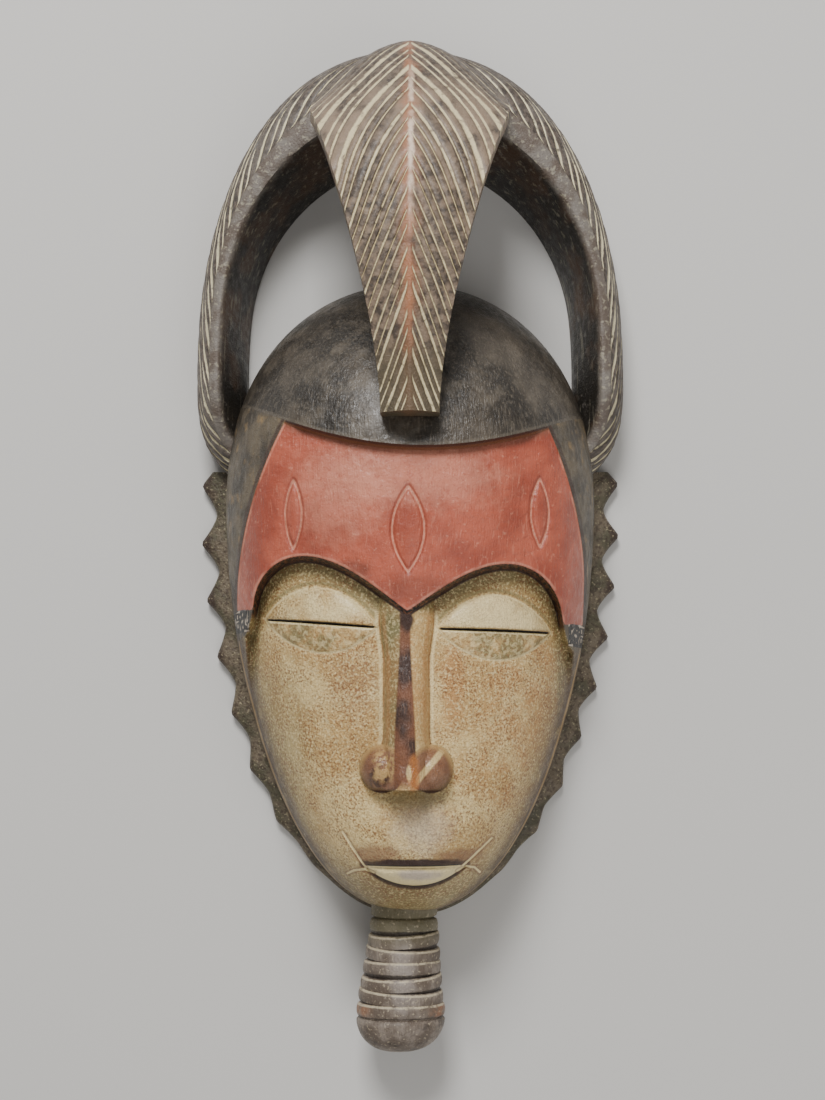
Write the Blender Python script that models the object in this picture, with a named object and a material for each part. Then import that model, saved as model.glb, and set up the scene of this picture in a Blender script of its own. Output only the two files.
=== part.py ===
"""Carved wooden face mask with a horn arch, a crest, a toothed rim and a ringed beard.

The mask lies on its back, cut from one piece of wood with a hollow behind the face. +X is the
viewer's right, +Y runs up to the top of the arch and +Z comes out of the face. The origin is under
the middle of the mask, on the plane that its flat back rests on.
"""

import math

import bmesh
import bpy

# Driving sizes, in metres
HEIGHT = 0.4286
HEAD_WIDTH = 0.161
HEAD_LENGTH = 0.273
HEAD_DEPTH = 0.094
WALL = 0.011
FACE_WALL = 0.012
HOLLOW_ROWS = 18
HOLLOW_COLUMNS = 14
HOLLOW_PAST_BACK = 0.005

ARCH_WIDTH = 0.185
ARCH_DEPTH_SIDE = 0.038
ARCH_DEPTH_TOP = 0.047
ARCH_BAR_SIDE = 0.0205
ARCH_BAR_TOP = 0.040
ARCH_FOOT_ABOVE_CHIN = 0.187
ARCH_FOOT_LENGTH = 0.047
ARCH_FOOT_TURN_IN = 0.018
ARCH_ROUNDNESS = 2.2

CREST_TOP_WIDTH = 0.082
CREST_END_WIDTH = 0.023
CREST_THICKNESS = 0.013
CREST_RIDGE = 0.0065
CREST_DEPTH = 0.114
CREST_END_ABOVE_CHIN = 0.1985
CREST_END_DROP = 0.006
CREST_SIDE_SETBACK = 0.017

RIM_THICKNESS = 0.008
RIM_WIDTH = 0.0045
RIM_STEPS = 84
TOOTH_HEIGHT = 0.0085
TOOTH_PITCH_LEFT = 0.0245
TOOTH_PITCH_RIGHT = 0.0218

BEARD_LENGTH = 0.0546
BEARD_TOP_RADIUS = 0.0138
BEARD_END_RADIUS = 0.0186
BEARD_AXIS_HEIGHT = 0.024
BEARD_RINGS = 7
BEARD_LEDGE = 0.0015
BEARD_TIP = 0.0145
BEARD_SIDES = 20
BEARD_OFF_CENTRE = (-0.0026, -0.0045)

# Places that follow from the sizes
TOP_Y = HEIGHT / 2
BEARD_END_Y = -HEIGHT / 2
CHIN_Y = BEARD_END_Y + BEARD_LENGTH

# The head is drawn on a sheet of 161 by 273 by 94 units, chin at 0, and scaled to its own sizes
SHEET_WIDTH = 161.0
SHEET_LENGTH = 273.0
SHEET_DEPTH = 94.0
HALF = SHEET_WIDTH / 2
FACE_PLANE = 75.0
WIDEST = 174.0
TOP_ROW_HALF = 50.0
CHIN_ROW_HALF = 30.0
UPPER_LIP = 25.5
LOWER_LIP = 16.5
RIM_START = 190.0
RIM_STOP = 0.8
SLANT = 0.04
OVALS = ((-46.5, 164.0, 3.4, 13.8), (-0.7, 156.8, 6.3, 16.7), (52.0, 165.0, 3.8, 13.7))
OVAL_GROOVE = 1.0
OVAL_DEPTH = 1.3
EDGE_RUN = 1.2


def smooth(value, low, high):
    """0 below low, 1 above high and an S curve between."""
    share = min(1.0, max(0.0, (value - low) / (high - low)))
    return share * share * (3 - 2 * share)


def arc(share, power, root):
    """Height of a rounded quarter at a share of its run from the crown to the edge."""
    return max(0.0, 1 - min(1.0, abs(share)) ** power) ** root


def half_width(y):
    """Half the width of the head's outline at a height on the sheet."""
    if y > WIDEST:
        return HALF * arc((y - WIDEST) / (SHEET_LENGTH - WIDEST), 2.3, 0.5)
    return HALF * arc((WIDEST - y) / WIDEST, 1.8, 0.46)


def outline_y(x, low, high):
    """Height at which the outline is as wide as x, between two heights."""
    wide, narrow = (low, high) if half_width(low) > half_width(high) else (high, low)
    for _ in range(40):
        middle = (wide + narrow) / 2
        if half_width(middle) > abs(x):
            wide = middle
        else:
            narrow = middle
    return (wide + narrow) / 2


def slanted(x, y):
    """The upper face was carved a little out of level, lower on the viewer's right."""
    return y + SLANT * x * smooth(y, 70, 105)


def brow_height(x):
    """The double arc of the brow edge: a point over the nose and two rounded arches."""
    away = abs(x + 1)
    if away < 42:
        return 125 + 20.6 * math.sin(math.pi / 2 * (away / 42) ** 1.05)
    if away < 62.3:
        return 145.6 - 22 * (1 - math.sqrt(1 - ((away - 42) / 21) ** 2))
    return 112 + 17.6 * math.exp(-(away - 62.3) / 2.5)


def brow_row(x):
    return brow_height(x) - SLANT * x


def lip_row(x):
    return 189 + 11 * (x / 50) ** 2 - SLANT * x


def cap_form(x, y):
    """Smooth dome of the cap and of the bands beside the forehead."""
    run = (y - WIDEST) / (SHEET_LENGTH - WIDEST)
    crown = arc(run, 2.3, 0.5) if run > 0 else arc(run * (SHEET_LENGTH - WIDEST) / WIDEST, 3, 0.45)
    return SHEET_DEPTH * crown * arc(x / half_width(y), 2.2, 0.45)


def forehead_form(x, y):
    """Forehead, sunk under the cap's lip and falling back towards the brow."""
    sink = 4 + 5 * smooth(190 - y, 0, 70)
    return cap_form(x, y) - sink * (1 - smooth(abs(x), 42, 66))


def nose_form(x, y):
    """Long straight nose with two balls for wings, cut flat underneath."""
    across = x + 1.4
    half = 8.8 + 1.8 * smooth(y, 105, 122) + 2 * smooth(78 - y, 0, 14)
    rise = 7 + 9 * smooth(122 - y, 0, 62)
    bridge = rise * arc(across / half, 2.4, 0.6)
    wings = 0.0
    for side in (-1, 1):
        ball = math.hypot((across - side * 9.6) / 8.8, (y - 63.5) / 9.5)
        wings = max(wings, 12.5 * arc(ball, 2, 0.5))
    return max(bridge, wings) * smooth(y, 55, 56.2)


def eye_form(x, y):
    """Closed almond eye: a full upper lid over a sunk slit and a flatter lower lid."""
    level = slanted(x, y) - 120
    along = (abs(x + 1) - 35.5) / 23.5
    reach = (14 if level > 0 else 12) * arc(along, 2, 0.9)
    if reach < 0.5:
        return 0.0
    lid = arc(level / reach, 2, 0.6)
    return (3.2 if level > 0 else 1.4) * lid * arc(along, 2, 0.5)


def mouth_form(x, y):
    """Swelling round the mouth, the upper lip's edge and the lens of the lower lip."""
    across = x - 2
    swell = 5 * arc(math.hypot(across / 38, (y - 34) / 32), 2, 1.2)
    lip = arc(across / 22, 2, 0.7)
    upper = -3 * lip * (1 - smooth(y, UPPER_LIP - 1.2, UPPER_LIP)) * smooth(y, 10, LOWER_LIP)
    lower = 3 * lip * arc((y - (UPPER_LIP + LOWER_LIP) / 2) / 5, 2, 0.5)
    return swell + upper + lower


def face_form(x, y):
    """The face plane below the brow with all that is carved on it."""
    run = (110 - y) / 110
    middle = FACE_PLANE * (arc(run, 5.5, 0.45) if run > 0 else 1.0)
    plane = middle * arc(x / half_width(y), 2.4, 0.5)
    edge = smooth(half_width(y) - abs(x), 0, 12)
    return plane + edge * (nose_form(x, y) + eye_form(x, y) + mouth_form(x, y))


def level(y):
    return lambda x: y


def slanted_level(y):
    """A row across the face that slants with it and turns down under the ends of the brow."""
    return lambda x: y - SLANT * x - 15 * smooth(abs(x), 58, 74)


def shifted(curve, by):
    return lambda x: curve(x) + by


COLUMNS = (0.0, 0.04, 0.08, 0.12, 0.165, 0.215, 0.27, 0.33, 0.40, 0.47, 0.54, 0.61, 0.68, 0.74, 0.79)
COLUMNS += (0.84, 0.885, 0.925, 0.955, 0.98, 1.0)


def row_along(curve, columns):
    """Points where the columns cross a curve that runs from outline to outline."""
    ends = []
    for side in (-1, 1):
        x = side * HALF
        for _ in range(60):
            x = (x + side * half_width(curve(x))) / 2
        ends.append(abs(x))
    xs = [c * ends[c > 0] for c in columns]
    return [(x, curve(x)) for x in xs]


def row_on_outline(half, low, high, columns):
    return [(c * half, outline_y(c * half, low, high)) for c in columns]


def rows_between(first, second, count, form, ease=1.0):
    """Rows from one key row up to the next, without the last, and the form that shapes each."""
    rows = []
    for step in range(count):
        share = (step / count) ** ease
        ys = [a[1] + (b[1] - a[1]) * share for a, b in zip(first, second)]
        reach = (half_width(ys[0]), half_width(ys[-1]))
        xs = [a[0] / abs(first[-1 if a[0] > 0 else 0][0]) * reach[a[0] > 0] for a in first]
        rows.append(([(x, y) for x, y in zip(xs, ys)], form))
    return rows


def head_rows():
    """All rows of the head's front, from the chin to the top of the dome."""
    columns = [-c for c in reversed(COLUMNS[1:])] + list(COLUMNS)
    chin = row_on_outline(CHIN_ROW_HALF, 0.0, WIDEST, columns)
    crown = row_on_outline(TOP_ROW_HALF, WIDEST, SHEET_LENGTH, columns)
    keys = [
        (level(LOWER_LIP - 0.8), 5, 1.5),
        (level(UPPER_LIP - 1.6), 4, 1),
        (level(UPPER_LIP), 1, 1),
        (level(55.0), 7, 1),
        (level(56.3), 1, 1),
        (level(72.0), 5, 1),
        (slanted_level(108.0), 7, 1),
        (slanted_level(119.4), 3, 1),
        (slanted_level(120.6), 1, 1),
        (shifted(brow_row, -EDGE_RUN), 5, 1),
    ]
    rows = []
    last = chin
    for curve, count, ease in keys:
        key = row_along(curve, columns)
        rows += rows_between(last, key, count, face_form, ease)
        last = key
    rows.append((last, face_form))
    brow = row_along(brow_row, columns)
    under_lip = row_along(shifted(lip_row, -EDGE_RUN), columns)
    rows += rows_between(brow, under_lip, 6, forehead_form)
    rows.append((under_lip, forehead_form))
    lip = row_along(lip_row, columns)
    rows += rows_between(lip, crown, 12, cap_form, 0.75)
    rows.append((crown, cap_form))
    return rows


def make_oval(middle_x, middle_y, half_across, half_along):
    """Cutter for the groove round one pointed oval of the forehead."""
    path = []
    steps = 10
    for side in (1, -1):
        for k in range(steps):
            along = side * (1 - 2 * k / steps)
            path.append((side * half_across * (1 - along**2), along * half_along))
    rings = []
    count = len(path)
    for k, (x, y) in enumerate(path):
        before, after = path[k - 1], path[(k + 1) % count]
        run = (after[0] - before[0], after[1] - before[1])
        size = math.hypot(*run)
        out = (run[1] / size * OVAL_GROOVE, -run[0] / size * OVAL_GROOVE)
        if k % steps == 0:
            out = (0.0, OVAL_GROOVE * 1.5 * (-1 if k == 0 else 1))
        x, y = middle_x + x, middle_y + y
        z = forehead_form(x, y)
        rings.append(
            [
                place(x + out[0], y + out[1], z + 1.2),
                place(x - out[0], y - out[1], z + 1.2),
                place(x, y, z - OVAL_DEPTH),
            ]
        )
    return ring_of_sections("oval", rings)


def place(x, y, z):
    """A point of the sheet at its real place."""
    return (
        x * HEAD_WIDTH / SHEET_WIDTH,
        CHIN_Y + y * HEAD_LENGTH / SHEET_LENGTH,
        z * HEAD_DEPTH / SHEET_DEPTH,
    )


def ring_of_sections(name, rings):
    """One closed tube through sections that come back to the first."""
    mesh = bmesh.new()
    grid = [[mesh.verts.new(point) for point in ring] for ring in rings]
    for lower, upper in zip(grid, grid[1:] + grid[:1]):
        for i in range(len(lower)):
            j = (i + 1) % len(lower)
            mesh.faces.new((lower[i], lower[j], upper[j], upper[i]))
    return finished(name, mesh)


def finished(name, mesh):
    """An object from a closed mesh, with its faces turned outwards."""
    bmesh.ops.recalc_face_normals(mesh, faces=mesh.faces)
    data = bpy.data.meshes.new(name)
    mesh.to_mesh(data)
    mesh.free()
    obj = bpy.data.objects.new(name, data)
    bpy.context.collection.objects.link(obj)
    return obj


def solid_from_rows(name, rows, closed_section):
    """One closed body from rows of points: a sheet with a flat base, or a swept section with ends."""
    mesh = bmesh.new()
    grid = [[mesh.verts.new(point) for point in row] for row in rows]
    width = len(grid[0])
    for lower, upper in zip(grid, grid[1:]):
        for i in range(width if closed_section else width - 1):
            j = (i + 1) % width
            mesh.faces.new((lower[i], lower[j], upper[j], upper[i]))
    if closed_section:
        mesh.faces.new(grid[0])
        mesh.faces.new(grid[-1])
    else:
        rim = grid[0] + [row[-1] for row in grid[1:]]
        rim += grid[-1][-2::-1] + [row[0] for row in reversed(grid[1:-1])]
        mesh.faces.new(rim)
    return finished(name, mesh)


def make_head():
    """The head's front, closed by a flat back at z = 0."""
    rows = []
    all_rows = head_rows()
    for index, (row, form) in enumerate(all_rows):
        on_edge = index in (0, len(all_rows) - 1)
        points = []
        for i, (x, y) in enumerate(row):
            rim = on_edge or i in (0, len(row) - 1)
            points.append(place(x, y, 0.0 if rim else max(1.0, form(x, y))))
        rows.append(points)
    return solid_from_rows("mask", rows, closed_section=False)


def make_hollow():
    """The bowl carved out behind the face, open at the back and a wall inside the outline."""
    half = HEAD_WIDTH / 2 - WALL
    low, high = CHIN_Y + WALL, CHIN_Y + HEAD_LENGTH - WALL
    middle = low + 0.53 * (high - low)
    depth = FACE_PLANE / SHEET_DEPTH * HEAD_DEPTH - FACE_WALL
    rows = []
    for step in range(HOLLOW_ROWS + 1):
        swing = math.sin(math.pi * (step / HOLLOW_ROWS - 0.5)) * 0.995
        y = middle + ((high - middle) if swing > 0 else (middle - low)) * swing
        crown = arc(swing, 2.4, 0.5)
        reach = half * arc(swing, 2.1 if swing > 0 else 1.9, 0.5)
        section = [(-reach, y, -HOLLOW_PAST_BACK), (reach, y, -HOLLOW_PAST_BACK)]
        for k in range(HOLLOW_COLUMNS + 1):
            turn = math.pi * k / HOLLOW_COLUMNS
            across = math.copysign(abs(math.cos(turn)) ** 0.85, math.cos(turn))
            section.append((reach * across, y, depth * crown * math.sin(turn) ** 0.9 + 0.0004))
        rows.append(section)
    return solid_from_rows("hollow", rows, closed_section=True)


def arch_outer(turn):
    """Point on the arch's outer outline: below zero the foot, then a round loop up to 1 at the top."""
    half = ARCH_WIDTH / 2
    spring = CHIN_Y + ARCH_FOOT_ABOVE_CHIN + ARCH_FOOT_LENGTH
    if turn < 0:
        return half - ARCH_FOOT_TURN_IN * (-turn) ** 5.5, spring + ARCH_FOOT_LENGTH * turn
    angle = turn * math.pi / 2
    x = half * math.cos(angle) ** (2 / ARCH_ROUNDNESS)
    y = spring + (TOP_Y - spring) * math.sin(angle) ** (2 / ARCH_ROUNDNESS)
    return x, y


def arch_section(turn, side):
    """The bar's section: flat back, slanted outer side, narrow front, slanted inner side."""
    x, y = arch_outer(turn)
    ahead, behind = arch_outer(min(1.0, turn + 0.01)), arch_outer(turn - 0.01)
    along = (ahead[0] - behind[0], ahead[1] - behind[1])
    if turn >= 1.0:
        along = (-1.0, 0.0)
    size = math.hypot(*along)
    inward = (-along[1] / size, along[0] / size)
    high = smooth(turn, 0.1, 0.75)
    bar = ARCH_BAR_SIDE + (ARCH_BAR_TOP - ARCH_BAR_SIDE) * high
    deep = ARCH_DEPTH_SIDE + (ARCH_DEPTH_TOP - ARCH_DEPTH_SIDE) * high
    deep -= 0.3 * ARCH_DEPTH_SIDE * smooth(-turn, 0.2, 1.0)
    profile = (
        (0.05, 0.0),
        (0.0, 0.3),
        (0.0, 0.58),
        (0.15, 0.82),
        (0.34 + 0.12 * high, 0.97),
        (0.56 + 0.20 * high, 1.0),
        (0.78 + 0.12 * high, 0.62),
        (0.97, 0.2),
        (1.0, 0.0),
    )
    return [
        (side * (x + inward[0] * bar * across), y + inward[1] * bar * across, deep * up)
        for across, up in profile
    ]


def make_arch():
    """The loop from the left temple over the top to the right temple."""
    steps = [-1.0, -0.85, -0.7, -0.5, -0.25] + [k / 20 for k in range(20)]
    rows = [arch_section(turn, -1) for turn in steps]
    rows.append([(x * 0, y, z) for x, y, z in arch_section(1.0, 1)])
    rows += [arch_section(turn, 1) for turn in reversed(steps)]
    return solid_from_rows("arch", rows, closed_section=True)


def crest_line(share):
    """Ridge of the crest from the top of the arch, bending forward, then down to the cap."""
    end = CHIN_Y + CREST_END_ABOVE_CHIN
    swing = share * math.pi / 2
    y = TOP_Y - 0.2 * CREST_THICKNESS - (TOP_Y - end) * (1 - math.cos(swing)) ** 0.92
    rise = 0.26 + 0.74 * math.sin(min(math.pi / 2, swing * 1.28)) ** 0.85
    return y, CREST_DEPTH * rise - CREST_END_DROP * smooth(share, 0.78, 1.0)


def crest_section(share):
    """Ridge, two facets that slope to the edges, side walls and a flat underside."""
    y, z = crest_line(share)
    before, after = crest_line(max(0.0, share - 0.02)), crest_line(min(1.0, share + 0.02))
    run = (after[0] - before[0], after[1] - before[1])
    size = math.hypot(*run)
    down = (-run[1] / size, run[0] / size)
    end = CHIN_Y + CREST_END_ABOVE_CHIN
    spread = max(0.0, y - end) / (TOP_Y - ARCH_BAR_TOP - end)
    half = (CREST_END_WIDTH + (CREST_TOP_WIDTH - CREST_END_WIDTH) * min(1.0, spread) ** 1.4) / 2
    ridge = CREST_RIDGE * (0.5 + 0.5 * smooth(share, 0.1, 0.5))
    back = CREST_SIDE_SETBACK * (1 - smooth(share, 0.0, 0.45))
    points = []
    for across, under in ((0, 0), (0.5, 0.42), (1, 1), (0.93, None), (0, None)):
        low = ridge * under if under is not None else ridge + CREST_THICKNESS
        points.append((half * across, y + down[0] * low - back * across**2, z + down[1] * low))
    mirror = [(-x, yy, zz) for x, yy, zz in reversed(points[1:-1])]
    return points + mirror


def make_crest():
    """The strap that joins the top of the arch to the front of the cap."""
    rows = [crest_section(k / 22) for k in range(23)]
    return solid_from_rows("crest", rows, closed_section=True)


def rim_edges(side, pitch):
    """The rim down one side: its outer edge, scallops that meet in points, and its inner edge."""
    edges = []
    walked = 0.25 * pitch
    last = None
    for step in range(RIM_STEPS + 1):
        sheet_y = RIM_START - (RIM_START - RIM_STOP) * math.sin(step / RIM_STEPS * math.pi / 2)
        x, y, _ = place(half_width(sheet_y), sheet_y, 0)
        near, far = place(half_width(sheet_y + 0.3), 0.6, 0), place(half_width(sheet_y - 0.3), 0, 0)
        run = (near[0] - far[0], near[1] - far[1])
        size = math.hypot(*run)
        out = (run[1] / size, -run[0] / size)
        if last:
            walked += math.hypot(x - last[0], y - last[1])
        last = (x, y)
        phase = abs((walked / pitch) % 1.0 - 0.5) * 2
        fade = smooth(sheet_y, 8, 50) * (0.45 + 0.55 * smooth(sheet_y, 30, 150))
        width = RIM_WIDTH * (0.4 + 0.6 * smooth(sheet_y, 5, 60)) + TOOTH_HEIGHT * fade * (1 - phase) ** 1.5
        inset = 0.45 * WALL
        edges.append(
            (
                (side * (x + out[0] * width), y + out[1] * width),
                (side * (x - out[0] * inset), y - out[1] * inset),
            )
        )
    return edges


def make_rim():
    """Flat toothed rim at the back of the face, let into the wall of the head."""
    left, right = rim_edges(-1, TOOTH_PITCH_LEFT), rim_edges(1, TOOTH_PITCH_RIGHT)
    rows = []
    for (x, y), (inner_x, inner_y) in left + right[::-1]:
        rows.append(
            [
                (inner_x, inner_y, 0.0),
                (x, y, 0.0),
                (x, y, RIM_THICKNESS * 0.75),
                (inner_x, inner_y, RIM_THICKNESS * 1.15),
            ]
        )
    return solid_from_rows("rim", rows, closed_section=True)


def make_beard():
    """Ringed beard that widens downwards, each ring with a ledge on its upper edge."""
    start, end = CHIN_Y + 0.010, BEARD_END_Y
    ring_end = end + BEARD_TIP
    pitch = (CHIN_Y - ring_end) / BEARD_RINGS
    profile = [(start, BEARD_TOP_RADIUS - BEARD_LEDGE)]
    for ring in range(BEARD_RINGS):
        y = CHIN_Y - pitch * ring
        radius = BEARD_TOP_RADIUS + (BEARD_END_RADIUS - BEARD_TOP_RADIUS) * (ring + 1) / BEARD_RINGS
        profile.append((y, radius - BEARD_LEDGE))
        profile.append((y - 0.25 * pitch, radius))
    profile.append((ring_end, BEARD_END_RADIUS))
    for step in range(1, 5):
        turn = math.radians(18 * step)
        fall = (ring_end - end) * math.sin(turn) / math.sin(math.radians(72))
        profile.append((ring_end - fall, BEARD_END_RADIUS * math.cos(turn) ** 0.8))
    rows = []
    top_x, end_x = BEARD_OFF_CENTRE
    for y, radius in profile:
        middle = top_x + (end_x - top_x) * (CHIN_Y - y) / BEARD_LENGTH
        ring = []
        for k in range(BEARD_SIDES):
            angle = 2 * math.pi * (k + 0.5) / BEARD_SIDES
            x = middle + radius * math.cos(angle)
            ring.append((x, y, BEARD_AXIS_HEIGHT + radius * math.sin(angle)))
        rows.append(ring)
    return solid_from_rows("beard", rows, closed_section=True)


def combine(target, tool, operation):
    """Applies one exact Boolean and removes the tool."""
    modifier = target.modifiers.new("join", "BOOLEAN")
    modifier.operation = operation
    modifier.solver = "EXACT"
    modifier.object = tool
    graph = bpy.context.evaluated_depsgraph_get()
    result = bpy.data.meshes.new_from_object(target.evaluated_get(graph))
    target.modifiers.clear()
    target.data = result
    bpy.data.objects.remove(tool)


def wood_material():
    """Dark brown carved wood."""
    material = bpy.data.materials.new("wood")
    material.use_nodes = True
    shader = material.node_tree.nodes["Principled BSDF"]
    shader.inputs["Base Color"].default_value = (0.19, 0.11, 0.06, 1.0)
    shader.inputs["Roughness"].default_value = 0.6
    shader.inputs["Metallic"].default_value = 0.0
    return material


def build():
    """The whole mask as one body, hollow behind the face."""
    for obj in list(bpy.data.objects):
        bpy.data.objects.remove(obj)
    mask = make_head()
    for piece in (make_rim(), make_arch(), make_beard(), make_crest()):
        combine(mask, piece, "UNION")
    for oval in OVALS:
        combine(mask, make_oval(*oval), "DIFFERENCE")
    combine(mask, make_hollow(), "DIFFERENCE")
    mask.data.materials.clear()
    mask.data.materials.append(wood_material())
    mask.data.name = "mask"


build()
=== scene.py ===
"""Fine carving, paint, floor, lights and camera for a carved wooden face mask that lies on its back.

The head is drawn on a sheet in millimetres, with the chin at 0 and +y towards the top of the arch,
and every cut and painted line on it is a small class that knows its own distance from a point.
"""

import bisect
import logging
import math
from dataclasses import dataclass, field
from enum import Enum
from typing import Callable

import bmesh
import bpy
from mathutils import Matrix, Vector, noise


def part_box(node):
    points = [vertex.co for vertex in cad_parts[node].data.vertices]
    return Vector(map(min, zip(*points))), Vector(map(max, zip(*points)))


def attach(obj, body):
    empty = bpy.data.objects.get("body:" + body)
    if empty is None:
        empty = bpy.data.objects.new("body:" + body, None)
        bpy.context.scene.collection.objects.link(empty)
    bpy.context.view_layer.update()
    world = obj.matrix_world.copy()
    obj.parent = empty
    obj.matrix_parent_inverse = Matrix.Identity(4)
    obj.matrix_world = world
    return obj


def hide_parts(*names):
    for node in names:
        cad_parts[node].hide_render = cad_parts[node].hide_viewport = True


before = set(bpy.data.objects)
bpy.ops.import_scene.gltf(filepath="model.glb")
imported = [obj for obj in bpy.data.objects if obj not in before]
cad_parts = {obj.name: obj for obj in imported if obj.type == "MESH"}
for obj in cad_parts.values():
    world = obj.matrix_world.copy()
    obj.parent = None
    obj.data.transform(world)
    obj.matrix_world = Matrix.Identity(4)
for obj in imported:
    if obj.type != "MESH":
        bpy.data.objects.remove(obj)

Point2 = tuple[float, float]
Curve = Callable[[float], float]
Section = list[tuple[Vector, float, float]]
Colour = tuple[float, float, float, float]
Socket = bpy.types.NodeSocket

MM = 0.001
MARKS = "marks"
HOLLOW = "hollow"
FAR = 9.0
STROKE_ROWS = (0.0, 0.13, 0.3, 0.7, 0.87)
ARCH_PITCH = 3.75
CREST_PITCH = 4.9
SEED_STEP = 17.3
LOG = logging.getLogger("mask")


class Part(Enum):
    """Carved areas of the mask, in the order of its material slots."""

    HEAD = 0
    CREST = 1
    ARCH = 2
    RIM = 3
    BEARD = 4
    BACK = 5


def smooth(value: float, low: float, high: float) -> float:
    """0 below low, 1 above high and an S curve between."""
    share = min(1.0, max(0.0, (value - low) / (high - low)))
    return share * share * (3 - 2 * share)


def arc(share: float, power: float, root: float) -> float:
    """Height of a rounded quarter at a share of its run from the crown to the edge."""
    return max(0.0, 1 - min(1.0, abs(share)) ** power) ** root


def mix(first: float, second: float, share: float) -> float:
    """The value a share of the way from first to second."""
    return first + (second - first) * share


def bell(distance: float, reach: float) -> float:
    """1 on a line, falling smoothly to nothing past its reach."""
    return math.exp(-((distance / reach) ** 2))


def waver(x: float, y: float, size: float, seed: float = 0.0) -> float:
    """Slow unevenness of a hand-cut surface between -1 and 1.

    Args:
        x: Place across, in millimetres.
        y: Place along, in millimetres.
        size: Width of one swell, in millimetres.
        seed: Picks another pattern.

    Returns:
        The height of the swell there.
    """
    return noise.noise(Vector((x / size, y / size, seed)))


def path_gap(x: float, y: float, path: tuple[Point2, ...]) -> float:
    """Distance from a point to a line of straight stretches.

    Args:
        x: The point's place across.
        y: The point's place along.
        path: The corners of the line, in order.

    Returns:
        The shortest distance, in the units of the corners.
    """
    best = math.inf
    for (ax, ay), (bx, by) in zip(path, path[1:]):
        run_x, run_y = bx - ax, by - ay
        share = ((x - ax) * run_x + (y - ay) * run_y) / (run_x * run_x + run_y * run_y)
        share = min(1.0, max(0.0, share))
        best = min(best, math.hypot(x - ax - run_x * share, y - ay - run_y * share))
    return best


def grid_mesh(columns: int, rows: int) -> tuple[bmesh.types.BMesh, list[list[bmesh.types.BMVert]]]:
    """A flat grid to be carved.

    Args:
        columns: Faces across.
        rows: Faces along.

    Returns:
        The mesh, and its vertices as rows of columns.
    """
    mesh = bmesh.new()
    bmesh.ops.create_grid(mesh, x_segments=columns, y_segments=rows, size=1.0)
    table: list[list[bmesh.types.BMVert]] = [[None] * (columns + 1) for _ in range(rows + 1)]
    for vert in mesh.verts:
        i = round((vert.co.x + 1) / 2 * columns)
        j = round((vert.co.y + 1) / 2 * rows)
        table[j][i] = vert
    return mesh, table


def close_ends(mesh: bmesh.types.BMesh) -> None:
    """Fills each open loop of edges with one face and turns all faces outwards."""
    loose = [edge for edge in mesh.edges if edge.is_boundary]
    bmesh.ops.edgeloop_fill(mesh, edges=loose)
    bmesh.ops.recalc_face_normals(mesh, faces=mesh.faces)


def make_object(name: str, mesh: bmesh.types.BMesh, part: Part) -> bpy.types.Object:
    """An object from a closed mesh, with every face in one material slot.

    Args:
        name: The object's name.
        mesh: The closed mesh, which is freed.
        part: The area that all its faces belong to.

    Returns:
        The new object.
    """
    if not mesh.loops.layers.uv:
        mesh.loops.layers.uv.new(MARKS)
    for face in mesh.faces:
        face.smooth = True
        if face.material_index == 0:
            face.material_index = part.value
    data = bpy.data.meshes.new(name)
    mesh.to_mesh(data)
    mesh.free()
    for area in Part:
        data.materials.append(bpy.data.materials.get(area.name.lower()))
    obj = bpy.data.objects.new(name, data)
    bpy.context.scene.collection.objects.link(obj)
    return obj


def sweep(name: str, sections: list[Section], part: Part, cut: float) -> bpy.types.Object:
    """A closed bar through sections, with its incised strokes cut in.

    Args:
        name: The object's name.
        sections: For each section, points around it with their stroke count and stroke strength.
        part: The area that its faces belong to.
        cut: Depth of the strokes, in metres.

    Returns:
        The bar as an object whose marks map holds stroke count and strength.
    """
    around = len(sections[0])
    mesh, table = grid_mesh(around, len(sections) - 1)
    marks = mesh.loops.layers.uv.new(MARKS)
    values = {}
    for row, section in zip(table, sections):
        for i, vert in enumerate(row):
            point, count, strength = section[i % around]
            vert.co = point
            values[vert] = (count, strength)
    for face in mesh.faces:
        for loop in face.loops:
            loop[marks].uv = values[loop.vert]
    bmesh.ops.remove_doubles(mesh, verts=mesh.verts, dist=0.002 * MM)
    close_ends(mesh)
    mesh.normal_update()
    sunk = [(vert, vert.normal * stroke_depth(*values[vert]) * cut) for vert in mesh.verts]
    for vert, step in sunk:
        vert.co -= step
    return make_object(name, mesh, part)


def stroke_depth(count: float, strength: float) -> float:
    """Share of the full depth at a stroke count: whole numbers are the bottoms of strokes."""
    return max(0.0, strength) * bell(count - round(count), 0.2)


def reached(column: Section, counts: list[float], wanted: float) -> tuple[Vector, float, float]:
    """The point of a column where the stroke count passes a value, held at the column's ends."""
    k = bisect.bisect(counts, wanted)
    if k == 0 or k == len(counts):
        return column[min(k, len(counts) - 1)]
    share = (wanted - counts[k - 1]) / (counts[k] - counts[k - 1])
    first, second = column[k - 1], column[k]
    return first[0].lerp(second[0], share), mix(first[1], second[1], share), mix(first[2], second[2], share)


def along_strokes(sections: list[Section]) -> list[Section]:
    """Slants the sections of a bar so that each one runs along a stroke or between two.

    Args:
        sections: Close sections, on every column of which the stroke count only rises or only falls.

    Returns:
        The first section, the slanted ones, and the last.
    """
    sign = 1 if sections[-1][0][1] > sections[0][0][1] else -1
    columns = [[section[k] for section in sections] for k in range(len(sections[0]))]
    counts = [[sign * point[1] for point in column] for column in columns]
    low = min(count[0] for count in counts)
    high = max(count[-1] for count in counts)
    slanted = [sections[0]]
    for stroke in range(math.floor(low), math.ceil(high)):
        for place in STROKE_ROWS:
            if low < stroke + place < high:
                row = [reached(*column, stroke + place) for column in zip(columns, counts)]
                slanted.append(row)
    slanted.append(sections[-1])
    return slanted


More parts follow.
